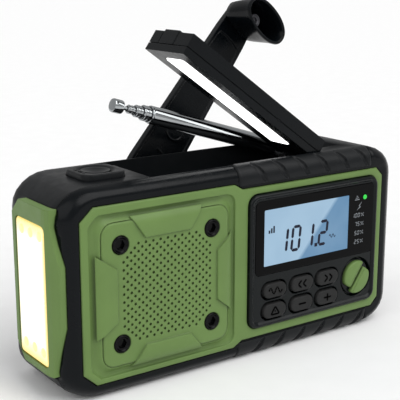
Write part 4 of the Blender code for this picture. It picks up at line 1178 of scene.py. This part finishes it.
def build_crank():
    refined("crank_hub", "black_plastic", 40, 0.3)
    bm = bmesh.new()
    end = 100.8
    outline = [
        (3.0, -5.5), (8.5, -5.5), (13.0, -10.6), (20, -10.8), (88, -7.9), (96, -7.2), (end, -3.4),
        (end, 3.4), (96, 7.2), (88, 7.9), (20, 10.8), (13.0, 10.6), (8.5, 5.5), (3.0, 5.5),
    ]
    inner = [
        (15.5, -9.0), (17.5, -9.4), (20.5, -9.5), (60.0, -7.9), (84.0, -6.6), (86.0, -5.8), (86.6, -2.0),
        (86.6, 2.0), (86.0, 5.8), (84.0, 6.6), (60.0, 7.9), (20.5, 9.5), (17.5, 9.4), (15.5, 9.0),
    ]
    floor_rows = skin(bm, "Y", [(1.5, outline), (-1.5, outline)], True, False)
    channel = tube(bm, "Y", [(-1.5, inner), (-0.9, [(a * 0.992 + 0.4, b * 0.95) for a, b in inner])])
    fill(bm, floor_rows[-1], channel[0])
    boss = skin(bm, "Y", [
        (-0.9, circle(40.0, 0.0, 5.2)), (-1.25, circle(40.0, 0.0, 5.0)), (-1.25, circle(40.0, 0.0, 4.4)),
        (-0.9, circle(40.0, 0.0, 4.2)),
    ], False, True)
    fill(bm, channel[-1], boss[0])
    for a in (28.0, 24.5):
        prism(bm, "Y", rectangle(a, a + 0.6, -2.6, 2.6), -0.7, -1.2)
    piece("crank_lever", bm, "arm", "black_plastic", ("crank_arm",), ARM, 32, 0.4, 3)
    bm = bmesh.new()
    turn(bm, "Z", 0, 0, [(0, -5.5), (2.0, -5.5), (2.0, 5.5), (0, 5.5)], 28)
    prism(bm, "Z", rectangle(0.5, 4.5, -1.2, 1.2), -5.4, 5.4)
    piece("crank_lever_eye", bm, "arm", "black_plastic", (), ARM, 32)

    bm = bmesh.new()
    wall = [
        (-1.8, 4.4, 9.2, -9.0, 3.0), (-2.1, 4.8, 9.5, -9.4, 3.0), (-5.0, 5.2, 9.8, -10.2, 2.8),
        (-9.0, 5.6, 10.1, -10.9, 2.6), (-13.0, 6.1, 10.3, -11.6, 2.4), (-15.4, 6.6, 10.6, -12.3, 2.25),
        (-16.3, 6.8, 10.8, -12.6, 2.2), (-16.7, 6.6, 10.6, -12.4, 2.2), (-16.8, 6.2, 10.2, -12.0, 2.2),
        (-16.7, 5.8, 9.8, -11.6, 2.2), (-16.3, 5.4, 9.4, -11.2, 2.2), (-12.0, 4.6, 8.8, -10.2, 2.4),
        (-4.0, 3.7, 8.4, -8.8, 2.8),
    ]
    skin(bm, "Y", [(y, oval(half, high, low, power)) for y, half, high, low, power in wall])
    turn(bm, "Y", 0, 0, [(0, -3.6), (3.2, -3.6), (3.2, -8.3), (2.9, -8.6), (0, -8.6)], 28)
    piece("crank_grip", bm, "knob", "black_plastic", ("crank_knob",), KNOB_SPIN, 45)
    bm = bmesh.new()
    add_hex_screw(bm, 0.0, 0.0, -10.4, -8.9, 2.7)
    turn(bm, "Y", 0, 0, [(0, -9.0), (1.5, -9.0), (1.5, 1.3), (0, 1.3)], 20)
    piece("crank_grip_screw", bm, "arm", "dark_steel", ("crank_knob_screw",), KNOB_SPIN)


# ---------------------------------------------------------------- casing

def build_case():
    refined("front_case", "black_plastic", 40)
    refined("rear_case", "black_matte", 40)
    refined("battery_door", "black_matte", 35, 0.3)
    refined("port_cover", "black_rubber", 35, 0.3)
    bm = bmesh.new()
    for x in (-18.0, -2.0, 14.0):
        prism(bm, "Z", rectangle(x - 0.5, x + 0.5, 11.0, 17.5), 62.8, 64.0, 0.2)
    piece("bay_ribs", bm, "case", "black_matte", crease=30)
    bm = bmesh.new()
    for n in range(7):
        z = 7.0 + 2.6 * n
        prism(bm, "Y", rounded(-58.0, -40.0, z, z + 1.1, 0.5, 3), 19.8, 20.15, 0.15)
    piece("back_ribs", bm, "case", "black_matte", crease=30)


def dress_hidden_nodes():
    """The pieces inside the casing keep their CAD shape and take a detailed finish."""
    finish_of = {entry["node"]: entry["material_slot"] for entry in frame["record"]["subparts"]}
    for name, made in NODES.items():
        if made.hide_render:
            continue
        made.data.materials.clear()
        made.data.materials.append(LOOKS[finish_of[name]])


# ---------------------------------------------------------------- stage

# name, which way it shines, strength
LIGHTS = (("key", (-0.25, 0.6, -0.85), 1.8), ("fill", (0.8, 0.3, -0.6), 0.7))
LIGHT_SPREAD = radians(55)
FLOOR_HALF = 4.0
FLOOR_DROP = 0.0003
CAMERA_PLACE = (-0.2102, -0.2873, 0.1438)
CAMERA_TOWARD = Vector((0.5610, 0.7934, -0.2360))
CAMERA_LENS = 87.27
CAMERA_SENSOR = 36.0


def build_stage():
    bm = bmesh.new()
    bmesh.ops.create_grid(bm, x_segments=1, y_segments=1, size=FLOOR_HALF)
    mesh = bpy.data.meshes.new("floor")
    bm.to_mesh(mesh)
    bm.free()
    ground = bpy.data.objects.new("floor", mesh)
    ground.location.z = -FLOOR_DROP
    bpy.context.scene.collection.objects.link(ground)
    look = surface("floor_paper", (0.93, 0.93, 0.93), 0.8, bump=0.0, vary=0.01, wear=0.0, specular=0.1)
    mesh.materials.append(look)

    world = bpy.data.worlds.new("studio")
    world.use_nodes = True
    world.node_tree.nodes["Background"].inputs["Color"].default_value = (1.0, 1.0, 1.0, 1.0)
    world.node_tree.nodes["Background"].inputs["Strength"].default_value = 0.5
    bpy.context.scene.world = world
    bpy.context.scene.view_settings.view_transform = "Standard"
    for name, toward, strength in LIGHTS:
        light = bpy.data.lights.new(name, "SUN")
        light.energy = strength
        light.angle = LIGHT_SPREAD
        made = bpy.data.objects.new(name, light)
        made.rotation_euler = Vector(toward).to_track_quat("-Z", "Y").to_euler()
        bpy.context.scene.collection.objects.link(made)


def build_camera():
    view = bpy.data.cameras.new("camera")
    view.lens = CAMERA_LENS
    view.sensor_width = CAMERA_SENSOR
    made = bpy.data.objects.new("camera", view)
    made.location = CAMERA_PLACE
    made.rotation_euler = CAMERA_TOWARD.to_track_quat("-Z", "Y").to_euler()
    bpy.context.scene.collection.objects.link(made)
    bpy.context.scene.camera = made


build_camera()
build_stage()
build_case()
build_front_panel()
build_speaker_plate()
build_screws()
build_grips()
build_bezel()
build_window()
build_readout()
build_buttons()
build_knob()
build_torch()
build_sos()
build_lamp()
build_antenna()
build_crank()
dress_hidden_nodes()
